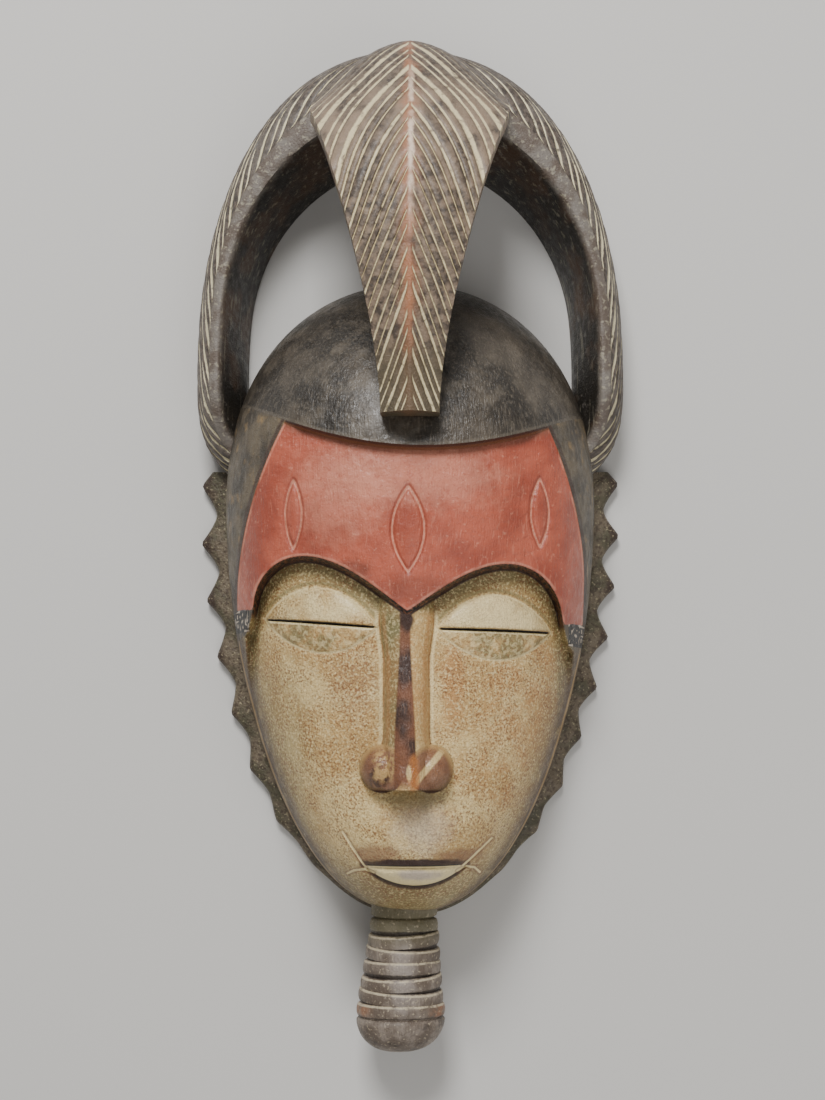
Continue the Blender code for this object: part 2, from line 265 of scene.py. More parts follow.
@dataclass(frozen=True)
class Sheet:
    """The head's drawing and its place on the mask."""

    chin: float
    width: float = 161.0
    length: float = 273.0
    depth: float = 94.0
    widest: float = 174.0
    face_plane: float = 75.0

    @property
    def half(self) -> float:
        """Half the width at the widest point."""
        return self.width / 2

    def half_width(self, y: float) -> float:
        """Half the width of the head's outline at a height."""
        if y > self.widest:
            return self.half * arc((y - self.widest) / (self.length - self.widest), 2.3, 0.5)
        return self.half * arc((self.widest - y) / self.widest, 1.8, 0.46)

    def outline_y(self, x: float, low: float, high: float) -> float:
        """Height between two others at which the outline is as wide as x."""
        wide, narrow = (low, high) if self.half_width(low) > self.half_width(high) else (high, low)
        for _ in range(40):
            middle = (wide + narrow) / 2
            if self.half_width(middle) > abs(x):
                wide = middle
            else:
                narrow = middle
        return (wide + narrow) / 2

    def place(self, x: float, y: float, z: float) -> Vector:
        """A point of the sheet at its real place."""
        return Vector((x * MM, self.chin + y * MM, z * MM))

    def unplace(self, point: Vector) -> Point2:
        """The place on the sheet of a real point."""
        return point.x / MM, (point.y - self.chin) / MM


@dataclass(frozen=True)
class Brow:
    """Double arc of the brow, cut back under its edge to the face."""

    centre: float = -1.0
    root: float = 125.0
    rise: float = 20.6
    crown: float = 42.0
    corner: float = 62.3
    corner_drop: float = 22.0
    corner_run: float = 21.0
    tail: float = 112.0
    tail_rise: float = 17.6
    tail_run: float = 2.5
    slant: float = 0.04
    wall: float = 1.7
    band: Point2 = (65.5, 68.5)
    band_end: Point2 = (78.0, 114.0)

    def row(self, x: float) -> float:
        """Height of the brow's edge at a place across."""
        away = abs(x - self.centre)
        if away < self.crown:
            level = self.root + self.rise * math.sin(math.pi / 2 * (away / self.crown) ** 1.05)
        elif away < self.corner:
            turn = math.sqrt(1 - ((away - self.crown) / self.corner_run) ** 2)
            level = self.root + self.rise - self.corner_drop * (1 - turn)
        else:
            level = self.tail + self.tail_rise * math.exp((self.corner - away) / self.tail_run)
        return level - self.slant * x

    def gap(self, x: float, y: float) -> float:
        """Distance above the edge, or below it where negative."""
        slope = (self.row(x + 0.2) - self.row(x - 0.2)) / 0.4
        return (y - self.row(x)) / math.hypot(1, slope)

    def above(self, x: float, y: float) -> float:
        """1 on the forehead's side, 0 on the face, with the cut wall and the fading temple band."""
        edge = smooth(self.gap(x, y), -self.wall, 0.0)
        side = smooth(abs(x), *self.band) * smooth(y, *self.band_end)
        return max(edge, side)


@dataclass(frozen=True)
class CapLip:
    """Lower edge of the cap, which overhangs the forehead."""

    middle: float = 189.0
    rise: float = 11.0
    half: float = 50.0
    slant: float = 0.04
    wall: float = 1.3

    def row(self, x: float) -> float:
        """Height of the lip at a place across."""
        return self.middle + self.rise * (x / self.half) ** 2 - self.slant * x

    def gap(self, x: float, y: float) -> float:
        """Distance above the lip, or below it where negative."""
        slope = 2 * self.rise * x / self.half**2 - self.slant
        return (y - self.row(x)) / math.hypot(1, slope)


@dataclass(frozen=True)
class PanelEdge:
    """One side of the red forehead panel: upright at its foot, leaning in towards the cap."""

    reach: float
    start: float
    bend: float
    power: float
    foot: float

    def gap(self, x: float, y: float) -> float:
        """Distance inside the edge, or outside it where negative."""
        up = max(0.0, y - self.start)
        slope = self.bend * self.power * up ** (self.power - 1)
        return (self.reach - self.bend * up**self.power - abs(x)) / math.hypot(1, slope)


@dataclass(frozen=True)
class Oval:
    """Pointed oval cut into the forehead, with a low ridge inside."""

    x: float
    y: float
    half_across: float
    half_along: float
    groove: float = 0.75
    depth: float = 1.1
    ridge: float = 0.7

    def gap(self, x: float, y: float) -> float:
        """Distance inside the outline, or outside it where negative."""
        along = (y - self.y) / self.half_along
        reach = self.half_across * (1 - along * along)
        slope = 2 * self.half_across * along / self.half_along
        inside = (reach - abs(x - self.x)) / math.hypot(1, slope)
        past = (abs(along) - 1) * self.half_along
        return min(inside, -past) if past > 0 else inside

    def height(self, x: float, y: float) -> float:
        """Change of height that the oval carves."""
        inside = self.gap(x, y)
        if inside < -3 * self.groove:
            return 0.0
        raised = self.ridge * smooth(inside, 0.3, self.half_across)
        return raised - self.depth * bell(inside, self.groove)


@dataclass(frozen=True)
class Eye:
    """Closed almond eye about its slit."""

    x: float
    half: float = 23.5
    upper: float = 14.0
    lower: float = 12.2
    upper_full: float = 3.2
    lower_full: float = 1.4

    def reach(self, x: float, level: float) -> float:
        """Half the almond's height at a place across, above or below the slit."""
        full = self.upper if level > 0 else self.lower
        return full * arc((x - self.x) / self.half, 2, 0.9)

    def gap(self, x: float, level: float) -> float:
        """Rough distance inside the almond, or outside it where negative."""
        along = (x - self.x) / self.half
        if abs(along) >= 1:
            return -math.hypot((abs(along) - 1) * self.half, level)
        full = self.upper if level > 0 else self.lower
        slope = 1.8 * full * along / self.half
        return (self.reach(x, level) - abs(level)) / math.hypot(1, slope)

    def height(self, x: float, level: float) -> float:
        """Swell of the lids with the slit cut between them."""
        along = (x - self.x) / self.half
        reach = self.reach(x, level)
        if reach < 0.5:
            return 0.0
        lid = arc(level / reach, 2, 0.6)
        swell = (self.upper_full if level > 0 else self.lower_full) * lid * arc(along, 2, 0.5)
        return swell - 1.5 * bell(level + 0.2, 0.55) * smooth(1 - abs(along), 0.02, 0.12)


@dataclass(frozen=True)
class Nose:
    """Long straight nose with two balls for wings."""

    centre: float = -1.4
    half: float = 8.8
    top: float = 122.0
    wing_x: float = 9.6
    wing_y: float = 63.5
    wing_across: float = 8.8
    wing_along: float = 9.5
    wing_height: float = 12.5
    foot: Point2 = (54.8, 56.0)

    def half_width(self, y: float) -> float:
        """Half the bridge's width, wider at the root and at the wings."""
        return self.half + 1.8 * smooth(y, 105, self.top) + 2 * smooth(78 - y, 0, 14)

    def ball(self, x: float, y: float, side: int) -> float:
        """Share of the way from the middle of one wing to its edge."""
        across = (x - self.centre - side * self.wing_x) / self.wing_across
        return math.hypot(across, (y - self.wing_y) / self.wing_along)

    def side_gap(self, x: float, y: float) -> float:
        """Distance outside the bridge's foot, or inside it where negative."""
        return abs(x - self.centre) - self.half_width(y)

    def height(self, x: float, y: float) -> float:
        """Rise of the nose over the face."""
        rise = 7 + 9 * smooth(self.top - y, 0, 62)
        bridge = rise * arc((x - self.centre) / self.half_width(y), 2.4, 0.6)
        wings = max(self.wing_height * arc(self.ball(x, y, side), 2, 0.5) for side in (-1, 1))
        crease = 0.7 * bell(self.side_gap(x, y) - 0.3, 0.8) * smooth(y, 70, 78) * smooth(125 - y, 0, 6)
        return max(bridge, wings) * smooth(y, *self.foot) - crease


@dataclass(frozen=True)
class Mouth:
    """Upper lip's edge, lens of the lower lip and the line scars at its corners."""

    x: float = 2.0
    lip_y: float = 25.5
    half: float = 20.5
    drop: float = 9.0
    swell: float = 5.0
    step: float = 3.0
    scars: tuple[tuple[Point2, ...], ...] = (
        ((-26.9, 38.4), (-17.6, 24.2)),
        ((32.9, 35.2), (21.2, 24.9)),
    )
    hooks: tuple[tuple[Point2, ...], ...] = (
        ((-25.3, 20.6), (-22.4, 22.5), (-18.0, 23.4), (-14.5, 22.0)),
        ((19.0, 22.6), (22.5, 24.4), (26.0, 23.4), (28.5, 20.6)),
    )

    def lens_gap(self, x: float, y: float) -> float:
        """Distance inside the lower lip, or outside it where negative."""
        low = self.lip_y - self.drop * arc((x - self.x) / self.half, 2, 0.85)
        if abs(x - self.x) > self.half:
            return -math.hypot(abs(x - self.x) - self.half, y - self.lip_y)
        return min(self.lip_y - 0.2 - y, y - low)

    def mark_gap(self, x: float, y: float) -> float:
        """Distance to the nearest line scar or hook."""
        if y > 42 or y < 16:
            return math.inf
        return min(path_gap(x, y, path) for path in self.scars + self.hooks)

    def height(self, x: float, y: float) -> float:
        """Swelling round the mouth with the lips and scars carved in it."""
        across = x - self.x
        swell = self.swell * arc(math.hypot(across / 38, (y - 34) / 32), 2, 1.2)
        if y > 60:
            return swell
        lip = arc(across / 22, 2, 0.7)
        upper = -self.step * lip * (1 - smooth(y, self.lip_y - 1.2, self.lip_y)) * smooth(y, 9, 16)
        inside = self.lens_gap(x, y)
        lens = self.step * lip * smooth(inside, 0.0, 3.0) ** 0.6 if inside > 0 else 0.0
        line = 0.8 * bell(inside + 0.5, 0.7) * smooth(self.lip_y - y, 0.2, 1.5)
        return swell + upper + lens - line - 0.6 * bell(self.mark_gap(x, y), 0.55)


@dataclass(frozen=True)
class TempleMarks:
    """Two rows of short upright strokes between thin lines, under the foot of the red panel."""

    inner: float
    outer: float
    top: float
    rows: int = 2
    row_height: float = 4.1
    strokes: int = 6

    def line_gap(self, x: float, y: float) -> float:
        """Distance to the nearest of the lines between and around the rows."""
        if not self.inner - 0.5 < abs(x) < self.outer + 0.5:
            return math.inf
        return min(abs(self.top - row * self.row_height - y) for row in range(self.rows + 1))

    def stroke_gap(self, x: float, y: float) -> float:
        """Distance to the nearest upright stroke."""
        down = self.top - y
        if not 0.7 < down < self.rows * self.row_height - 0.7 or self.line_gap(x, y) < 0.7:
            return math.inf
        pitch = (self.outer - self.inner) / self.strokes
        count = (abs(x) - self.inner) / pitch
        if not -0.2 < count < self.strokes + 0.2:
            return math.inf
        return abs(count - round(count)) * pitch

    def block_gap(self, x: float, y: float) -> float:
        """Distance inside the block of both rows, or outside it where negative."""
        foot = self.top - self.rows * self.row_height
        return 0.5 + min(abs(x) - self.inner, self.outer - abs(x), self.top - y, y - foot)


@dataclass
class Head:
    """Front of the head: cap, red forehead, face and everything cut into them."""

    sheet: Sheet
    columns: int = 80
    top_half: float = 50.0
    chin_half: float = 27.0
    refine_reach: float = 2.0
    brow: Brow = field(default_factory=Brow)
    lip: CapLip = field(default_factory=CapLip)
    nose: Nose = field(default_factory=Nose)
    mouth: Mouth = field(default_factory=Mouth)
    eyes: tuple[Eye, Eye] = (Eye(-36.2), Eye(34.2))
    left_edge: PanelEdge = PanelEdge(72.3, 126.0, 0.00601, 1.9, 127.0)
    right_edge: PanelEdge = PanelEdge(72.5, 140.0, 0.0160, 1.7, 121.0)
    left_marks: TempleMarks = TempleMarks(66.5, 75.5, 127.0)
    right_marks: TempleMarks = TempleMarks(65.3, 73.7, 121.0)
    ovals: tuple[Oval, ...] = (
        Oval(-46.5, 164.0, 3.4, 13.8),
        Oval(-0.7, 156.8, 6.3, 16.7, groove=0.9),
        Oval(52.0, 165.0, 3.8, 13.7),
    )

    def slit_row(self, x: float) -> float:
        """Line of the slits: the left one falls towards the nose, the right one is nearly level."""
        left = 121.2 - 0.09 * (x + 36)
        right = 118.2 - 0.017 * (x - 34)
        return mix(left, right, smooth(x, -12, 10))

    def edge_gap(self, x: float, y: float) -> float:
        """Distance inside the sides of the red panel, or outside where negative."""
        edge = self.left_edge if x < 0 else self.right_edge
        return edge.gap(x, y)

    def cap_form(self, x: float, y: float) -> float:
        """Smooth dome of the cap and of the bands beside the forehead."""
        sheet = self.sheet
        above = (y - sheet.widest) / (sheet.length - sheet.widest)
        below = (sheet.widest - y) / sheet.widest
        crown = arc(above, 2.3, 0.5) if above > 0 else arc(below, 3, 0.45)
        return sheet.depth * crown * arc(x / max(1.0, sheet.half_width(y)), 2.2, 0.45)

    def forehead_form(self, x: float, y: float) -> float:
        """Forehead sunk under the cap's lip, with a small step along its sides and the ovals."""
        inside = self.edge_gap(x, y)
        sink = (4 + 5 * smooth(190 - y, 0, 70)) * (1 - smooth(abs(x), 42, 66))
        form = self.cap_form(x, y) - sink * smooth(inside, -1, 10) - 0.8 * smooth(inside, -0.3, 0.6)
        form += 0.25 * bell(self.brow.gap(x, y) - 0.9, 0.9)
        return form + sum(oval.height(x, y) for oval in self.ovals if abs(x - oval.x) < 12)

    def face_form(self, x: float, y: float) -> float:
        """The face below the brow with all that is carved on it."""
        run = (110 - y) / 110
        middle = self.sheet.face_plane * (arc(run, 5.5, 0.45) if run > 0 else 1.0)
        half = max(1.0, self.sheet.half_width(y))
        plane = middle * arc(x / half, 2.4, 0.5)
        carved = self.nose.height(x, y) + self.mouth.height(x, y)
        level = y - self.slit_row(x)
        carved += sum(eye.height(x, level) for eye in self.eyes)
        carved -= 0.35 * bell(self.lid_gap(x, y), 0.6)
        return plane + smooth(half - abs(x), 0, 12) * carved

    def lid_gap(self, x: float, y: float) -> float:
        """Distance inside the nearest almond, or outside it where negative."""
        level = y - self.slit_row(x)
        return max(eye.gap(x, level) for eye in self.eyes)

    def height(self, x: float, y: float) -> float:
        """Height of the front over the back plane.

        Args:
            x: Place across the sheet.
            y: Place along the sheet.

        Returns:
            The height in the sheet's units, with the slow unevenness of the knife.
        """
        uneven = 0.28 * waver(x, y, 17.0) + 0.10 * waver(x, y, 6.0, 3.0)
        over_lip = smooth(self.lip.gap(x, y), -self.lip.wall, 0.0)
        if over_lip >= 1:
            return self.cap_form(x, y) + uneven
        above = self.brow.above(x, y)
        form = 0.0
        if above > 0:
            form += above * self.forehead_form(x, y)
        if above < 1:
            form += (1 - above) * self.face_form(x, y)
        if over_lip > 0:
            form = mix(form, self.cap_form(x, y), over_lip)
        for marks in (self.left_marks, self.right_marks):
            if x * (1 if marks is self.right_marks else -1) > 60 and 105 < y < 132:
                form -= 0.55 * bell(marks.stroke_gap(x, y), 0.4)
        return form + uneven * (1 - 0.6 * bell(self.lid_gap(x, y), 3.0))

    def column_shares(self) -> list[float]:
        """Shares of the half width, close in the middle and evenly spread over the steep sides."""
        shares = []
        for k in range(-self.columns, self.columns + 1):
            step = k / self.columns
            shares.append(math.sin(math.pi / 2 * (0.74 * step + 0.26 * step**3)))
        return shares

    def row_along(self, curve: Curve, shares: list[float]) -> list[Point2]:
        """Points where the columns cross a curve that runs from outline to outline."""
        ends = []
        for side in (-1, 1):
            x = side * self.sheet.half
            for _ in range(60):
                x = (x + side * self.sheet.half_width(curve(x))) / 2
            ends.append(abs(x))
        return [(c * ends[c > 0], curve(c * ends[c > 0])) for c in shares]

    def row_on_outline(self, half: float, low: float, high: float, shares: list[float]) -> list[Point2]:
        """First or last row, which lies on the outline itself."""
        return [(c * half, self.sheet.outline_y(c * half, low, high)) for c in shares]

    def slanted_level(self, y: float) -> Curve:
        """A row that slants with the face and turns down under the ends of the brow."""
        return lambda x: y - self.brow.slant * x - 18 * smooth(abs(x), 54, 74)

    def slit_level(self, by: float) -> Curve:
        """A row beside the slits that turns down under the ends of the brow."""
        return lambda x: self.slit_row(x) + by - 22 * smooth(abs(x), 56, 71)

    def key_rows(self) -> list[tuple[Curve, int, float]]:
        """Rows that follow the carving, with how many rows lead up to each and how they crowd."""
        lip_y = self.mouth.lip_y
        return [
            (lambda x: 15.7, 12, 1.25),
            (lambda x: lip_y - 1.2, 12, 1),
            (lambda x: lip_y, 2, 1),
            (lambda x: self.nose.foot[0], 26, 1),
            (lambda x: self.nose.foot[1], 2, 1),
            (lambda x: 72.0, 15, 1),
            (self.slanted_level(106.0), 28, 1),
            (self.slit_level(-0.9), 12, 1),
            (self.slit_level(0.6), 3, 1),
            (lambda x: self.brow.row(x) - self.brow.wall - 0.3, 14, 1),
            (lambda x: self.brow.row(x) - 0.2, 4, 1),
            (lambda x: self.brow.row(x) + 1.6, 2, 1),
            (lambda x: self.lip.row(x) - self.lip.wall - 0.1, 40, 1),
            (self.lip.row, 3, 1),
        ]

    def sheet_rows(self) -> list[list[Point2]]:
        """All rows of the front, from the chin to the top of the dome."""
        shares = self.column_shares()
        last = self.row_on_outline(self.chin_half, 0.0, self.sheet.widest, shares)
        rows = []
        for curve, count, ease in self.key_rows():
            key = self.row_along(curve, shares)
            rows += self.rows_between(last, key, count, ease)
            last = key
        crown = self.row_on_outline(self.top_half, self.sheet.widest, self.sheet.length, shares)
        rows += self.rows_between(last, crown, 50, 0.8)
        rows.append(crown)
        return rows

    def rows_between(
        self, first: list[Point2], second: list[Point2], count: int, ease: float
    ) -> list[list[Point2]]:
        """Rows from one key row up to the next, without the last.

        Args:
            first: Points of the lower key row.
            second: Points of the upper key row.
            count: Number of rows.
            ease: Over 1 crowds the rows at the lower one.

        Returns:
            The rows, each with its ends on the outline.
        """
        rows = []
        for step in range(count):
            share = (step / count) ** ease
            ys = [mix(a[1], b[1], share) for a, b in zip(first, second)]
            reach = (self.sheet.half_width(ys[0]), self.sheet.half_width(ys[-1]))
            xs = []
            for x, _ in first:
                end = first[-1 if x > 0 else 0][0]
                xs.append(x / abs(end) * reach[x > 0])
            rows.append(list(zip(xs, ys)))
        return rows

    def is_fine(self, x: float, y: float) -> bool:
        """Whether a place carries cuts that need smaller faces."""
        reach = self.refine_reach
        if y > self.lip.row(x) + 1:
            return False
        if y > self.brow.row(x) - 3:
            near_oval = any(abs(oval.gap(x, y)) < reach for oval in self.ovals)
            near_edge = abs(self.edge_gap(x, y)) < 0.8 and y < 200
            return near_oval or near_edge or self.brow.gap(x, y) < 1.4 and abs(x) < 72
        if any(m.line_gap(x, y) < 5 for m in (self.left_marks, self.right_marks)):
            return 109 < y < 129
        if abs(self.lid_gap(x, y)) < 1.6:
            return True
        if abs(self.nose.side_gap(x, y)) < reach and 68 < y < 124:
            return True
        near_wing = min(self.nose.ball(x, y, side) for side in (-1, 1)) < 1.15
        return near_wing or abs(self.mouth.lens_gap(x, y)) < reach or self.mouth.mark_gap(x, y) < 1.3

    def build(self) -> bpy.types.Object:
        """The front on its flat base.

        Returns:
            The head as a closed object with its base in the slot of the back.
        """
        rows = self.sheet_rows()
        mesh, table = grid_mesh(2 * self.columns, len(rows) - 1)
        for verts, row in zip(table, rows):
            for vert, (x, y) in zip(verts, row):
                vert.co = (x, y, 0.0)
        fine = [face for face in mesh.faces if self.is_fine(*face.calc_center_median().xy)]
        edges = list({edge for face in fine for edge in face.edges})
        bmesh.ops.subdivide_edges(mesh, edges=edges, cuts=1, use_grid_fill=True)
        many = [face for face in mesh.faces if len(face.verts) > 4]
        bmesh.ops.triangulate(mesh, faces=many)
        for vert in mesh.verts:
            x, y = vert.co.xy
            z = 0.0 if vert.is_boundary else max(1.0, self.height(x, y))
            vert.co = self.sheet.place(x, y, z)
        close_ends(mesh)
        for face in mesh.faces:
            if len(face.verts) > 4:
                face.material_index = Part.BACK.value
        LOG.info("head: %d places refined", len(fine))
        return make_object("head", mesh, Part.HEAD)

    def gaps(self, x: float, y: float) -> dict[str, float]:
        """Distances in millimetres from a place to each carved line that the paint follows."""
        above = self.brow.gap(x, y)
        marks = self.right_marks if x > 0 else self.left_marks
        edge = self.right_edge if x > 0 else self.left_edge
        foot = y - edge.foot if abs(x) > 60 else FAR
        side = self.edge_gap(x, y)
        near_mouth = abs(y - 30) < 25
        return {
            "lip": self.lip.gap(x, y),
            "brow": above,
            "edge": side,
            "panel": min(above, side, foot),
            "side": self.sheet.half_width(y) - abs(x),
            "oval": max(oval.gap(x, y) for oval in self.ovals),
            "lid": self.lid_gap(x, y),
            "slit": y - self.slit_row(x),
            "nose": self.nose.side_gap(x, y),
            "wing": min(self.nose.ball(x, y, hand) for hand in (-1, 1)),
            "lens": self.mouth.lens_gap(x, y) if near_mouth else -FAR,
            "scar": min(FAR, self.mouth.mark_gap(x, y)) if near_mouth else FAR,
            "rule": min(1.0, marks.line_gap(x, y)),
            "tick": min(1.0, marks.stroke_gap(x, y)),
            "block": marks.block_gap(x, y),
        }

    def store_gaps(self, data: bpy.types.Mesh) -> None:
        """Stores on the vertices of the painted front how far each lies from the carved lines.

        Args:
            data: The finished mesh, whose front faces are in the head's slot.
        """
        on_front = set()
        for polygon in data.polygons:
            if polygon.material_index == Part.HEAD.value:
                on_front.update(polygon.vertices)
        stored = {name: [0.0] * len(data.vertices) for name in self.gaps(0.0, 0.0)}
        for index in on_front:
            for name, gap in self.gaps(*self.sheet.unplace(data.vertices[index].co)).items():
                stored[name][index] = gap
        for name, values in stored.items():
            data.attributes.new(name, "FLOAT", "POINT").data.foreach_set("value", values)


@dataclass(frozen=True)
class Strokes:
    """Feather-like strokes that fall away from the crest's ridge and follow the arch round."""

    top: float
    spacing: float
    fall: float = math.radians(52)
    least: float = math.radians(18)
    low_slope: float = 2.35
    climb: float = 0.3

    def crest_count(self, x: float, y: float, z: float) -> float:
        """Number of strokes from the top of the crest to a point on it, all in metres."""
        down = (self.top - y + self.climb * z) / MM
        slope = mix(math.tan(self.fall), self.low_slope, smooth(down, 67, 142))
        return self.uneven((slope * abs(x) / MM - down) * math.cos(self.fall) / self.spacing)

    def uneven(self, count: float) -> float:
        """The count with the uneven spacing of strokes cut by eye."""
        return count + 0.13 * math.sin(2.3 * count) + 0.08 * math.sin(5.9 * count + 1)


@dataclass
class Arch:
    """Horn arch: a bar from temple to temple with strokes on its outer strip."""

    top: float
    chin: float
    strokes: Strokes
    width: float = 0.185
    depth_side: float = 0.038
    depth_top: float = 0.047
    bar_side: float = 0.0205
    bar_top: float = 0.040
    foot_above_chin: float = 0.187
    foot_length: float = 0.047
    foot_turn_in: float = 0.0145
    roundness: float = 2.2
    rows: int = 118
    counts: tuple[int, ...] = (1, 4, 8, 8, 4, 3, 3, 1)
    strip_start: float = -9.0
    lift: float = 0.00005
    cut: float = 0.0007

    def outer(self, turn: float) -> Point2:
        """Point of the outer outline: below zero the foot, then a round loop up to 1 at the top."""
        half = self.width / 2
        spring = self.chin + self.foot_above_chin + self.foot_length
        if turn < 0:
            return half - self.foot_turn_in * (-turn) ** 4, spring + self.foot_length * turn
        angle = turn * math.pi / 2
        x = half * max(0.0, math.cos(angle)) ** (2 / self.roundness)
        return x, spring + (self.top - spring) * math.sin(angle) ** (2 / self.roundness)

    def along(self, turn: float) -> Point2:
        """Direction of the outline towards the top."""
        if turn >= 1.0:
            return -1.0, 0.0
        ahead, behind = self.outer(min(1.0, turn + 0.01)), self.outer(turn - 0.01)
        run = (ahead[0] - behind[0], ahead[1] - behind[1])
        size = math.hypot(*run)
        return run[0] / size, run[1] / size

    def profile(self, high: float) -> tuple[Point2, ...]:
        """Corners of the bar's section as shares of its width and depth, from the outer back edge."""
        return (
            (0.05, 0.0),
            (0.0, 0.3),
            (0.0, 0.58),
            (0.15, 0.82),
            (0.34 + 0.12 * high, 0.97),
            (0.56 + 0.20 * high, 1.0),
            (0.78 + 0.12 * high, 0.62),
            (0.97, 0.2),
            (1.0, 0.0),
        )

    def section_path(self, bar: float, deep: float, high: float) -> list[tuple[float, float, float]]:
        """Points round the section with their distance inward from the outer edge of the strip.

        Args:
            bar: Width of the bar.
            deep: Depth of the bar.
            high: 0 at the feet and 1 at the top.

        Returns:
            Place across, place up and distance for each point; the distance is 0 at the third corner.
        """
        corners = [(across * bar, up * deep) for across, up in self.profile(high)]
        points = []
        walked = 0.0
        start = 0.0
        for k, count in enumerate(self.counts):
            before = corners[max(0, k - 1)]
            first, second = corners[k], corners[k + 1]
            after = corners[min(len(corners) - 1, k + 2)]
            if k == 2:
                start = walked
            for step in range(count):
                share = step / count
                a, b = (rounded(before[n], first[n], second[n], after[n], share) for n in (0, 1))
                points.append((max(0.0, a), b, walked + share * math.dist(first, second)))
            walked += math.dist(first, second)
        points.append((*corners[-1], walked))
        points += [(bar * share, 0.0, walked) for share in (0.7, 0.35)]
        return [(a, b, walk - start) for a, b, walk in points]

    def section(self, turn: float, side: int, count: float, angle: float) -> Section:
        """One section of the bar.

        Args:
            turn: Place along the outline, 1 at the top.
            side: -1 for the viewer's left and 1 for the right.
            count: Strokes passed along the outline from the top.
            angle: Angle between the strokes and the outline.

        Returns:
            Points with their stroke count and stroke strength.
        """
        x, y = self.outer(turn)
        run = self.along(turn)
        inward = (-run[1], run[0])
        high = smooth(turn, 0.1, 0.75)
        bar = mix(self.bar_side, self.bar_top, high)
        deep = mix(self.depth_side, self.depth_top, high)
        deep -= 0.3 * self.depth_side * smooth(-turn, 0.2, 1.0)
        border = bar * (0.34 + 0.12 * high)
        section = []
        path = self.section_path(bar, deep, high)
        strip_end = next(walk for across, _, walk in path if across >= border) / MM
        inner_end = path[-1][2] / MM
        for across, up, walk in path:
            walk /= MM
            shift = min(strip_end, max(self.strip_start, walk))
            if up == 0 and 0.05 * bar < across < bar:
                shift = mix(self.strip_start, strip_end, across / bar)
            here = count - shift * math.cos(angle) / self.strokes.spacing
            strength = smooth(walk, self.strip_start, -3.0) * smooth(strip_end - walk, 0.2, 1.0)
            if walk > strip_end:
                strength = (strip_end - walk) / (inner_end - strip_end)
            uneven = 0.12 * MM * (1 + waver(walk, y / MM, 7.0, side))
            place = Vector((side * (x + inward[0] * across), y + inward[1] * across, max(up, self.lift)))
            if up > 0:
                place += Vector((side * inward[0], inward[1], -1.0)) * uneven
            section.append((place, self.strokes.uneven(here), strength))
        return section

    def build(self) -> bpy.types.Object:
        """The arch as one closed bar.

        Returns:
            The arch as an object.
        """
        turns = [1 - k / self.rows for k in range(self.rows + 1)]
        turns += [-k / 14 for k in range(1, 15)]
        halves = {-1: [], 1: []}
        count = self.strokes.crest_count(0.0, self.top, self.depth_top)
        last = self.outer(1.0)
        for turn in turns:
            here = self.outer(turn)
            run = self.along(turn)
            slope = math.atan2(run[1], -run[0])
            angle = max(self.strokes.least, self.strokes.fall - slope)
            count += math.dist(here, last) / MM * math.sin(angle) / self.strokes.spacing
            last = here
            for side in halves:
                halves[side].append(self.section(turn, side, count, angle))
        middle = [(Vector((0.0, p.y, p.z)), c, s) for p, c, s in halves[1][0]]
        left, right = (along_strokes([middle] + halves[side][1:]) for side in halves)
        return sweep("arch", left[:0:-1] + right, Part.ARCH, self.cut)


def rounded(before: float, first: float, second: float, after: float, share: float) -> float:
    """Curve through four corners, read between the middle two, with its swing held in."""
    pull = 0.28
    a = first
    b = pull * (second - before)
    d = pull * (after - first)
    c = 3 * (second - first) - 2 * b - d
    e = 2 * (first - second) + b + d
    return a + share * (b + share * (c + share * e))


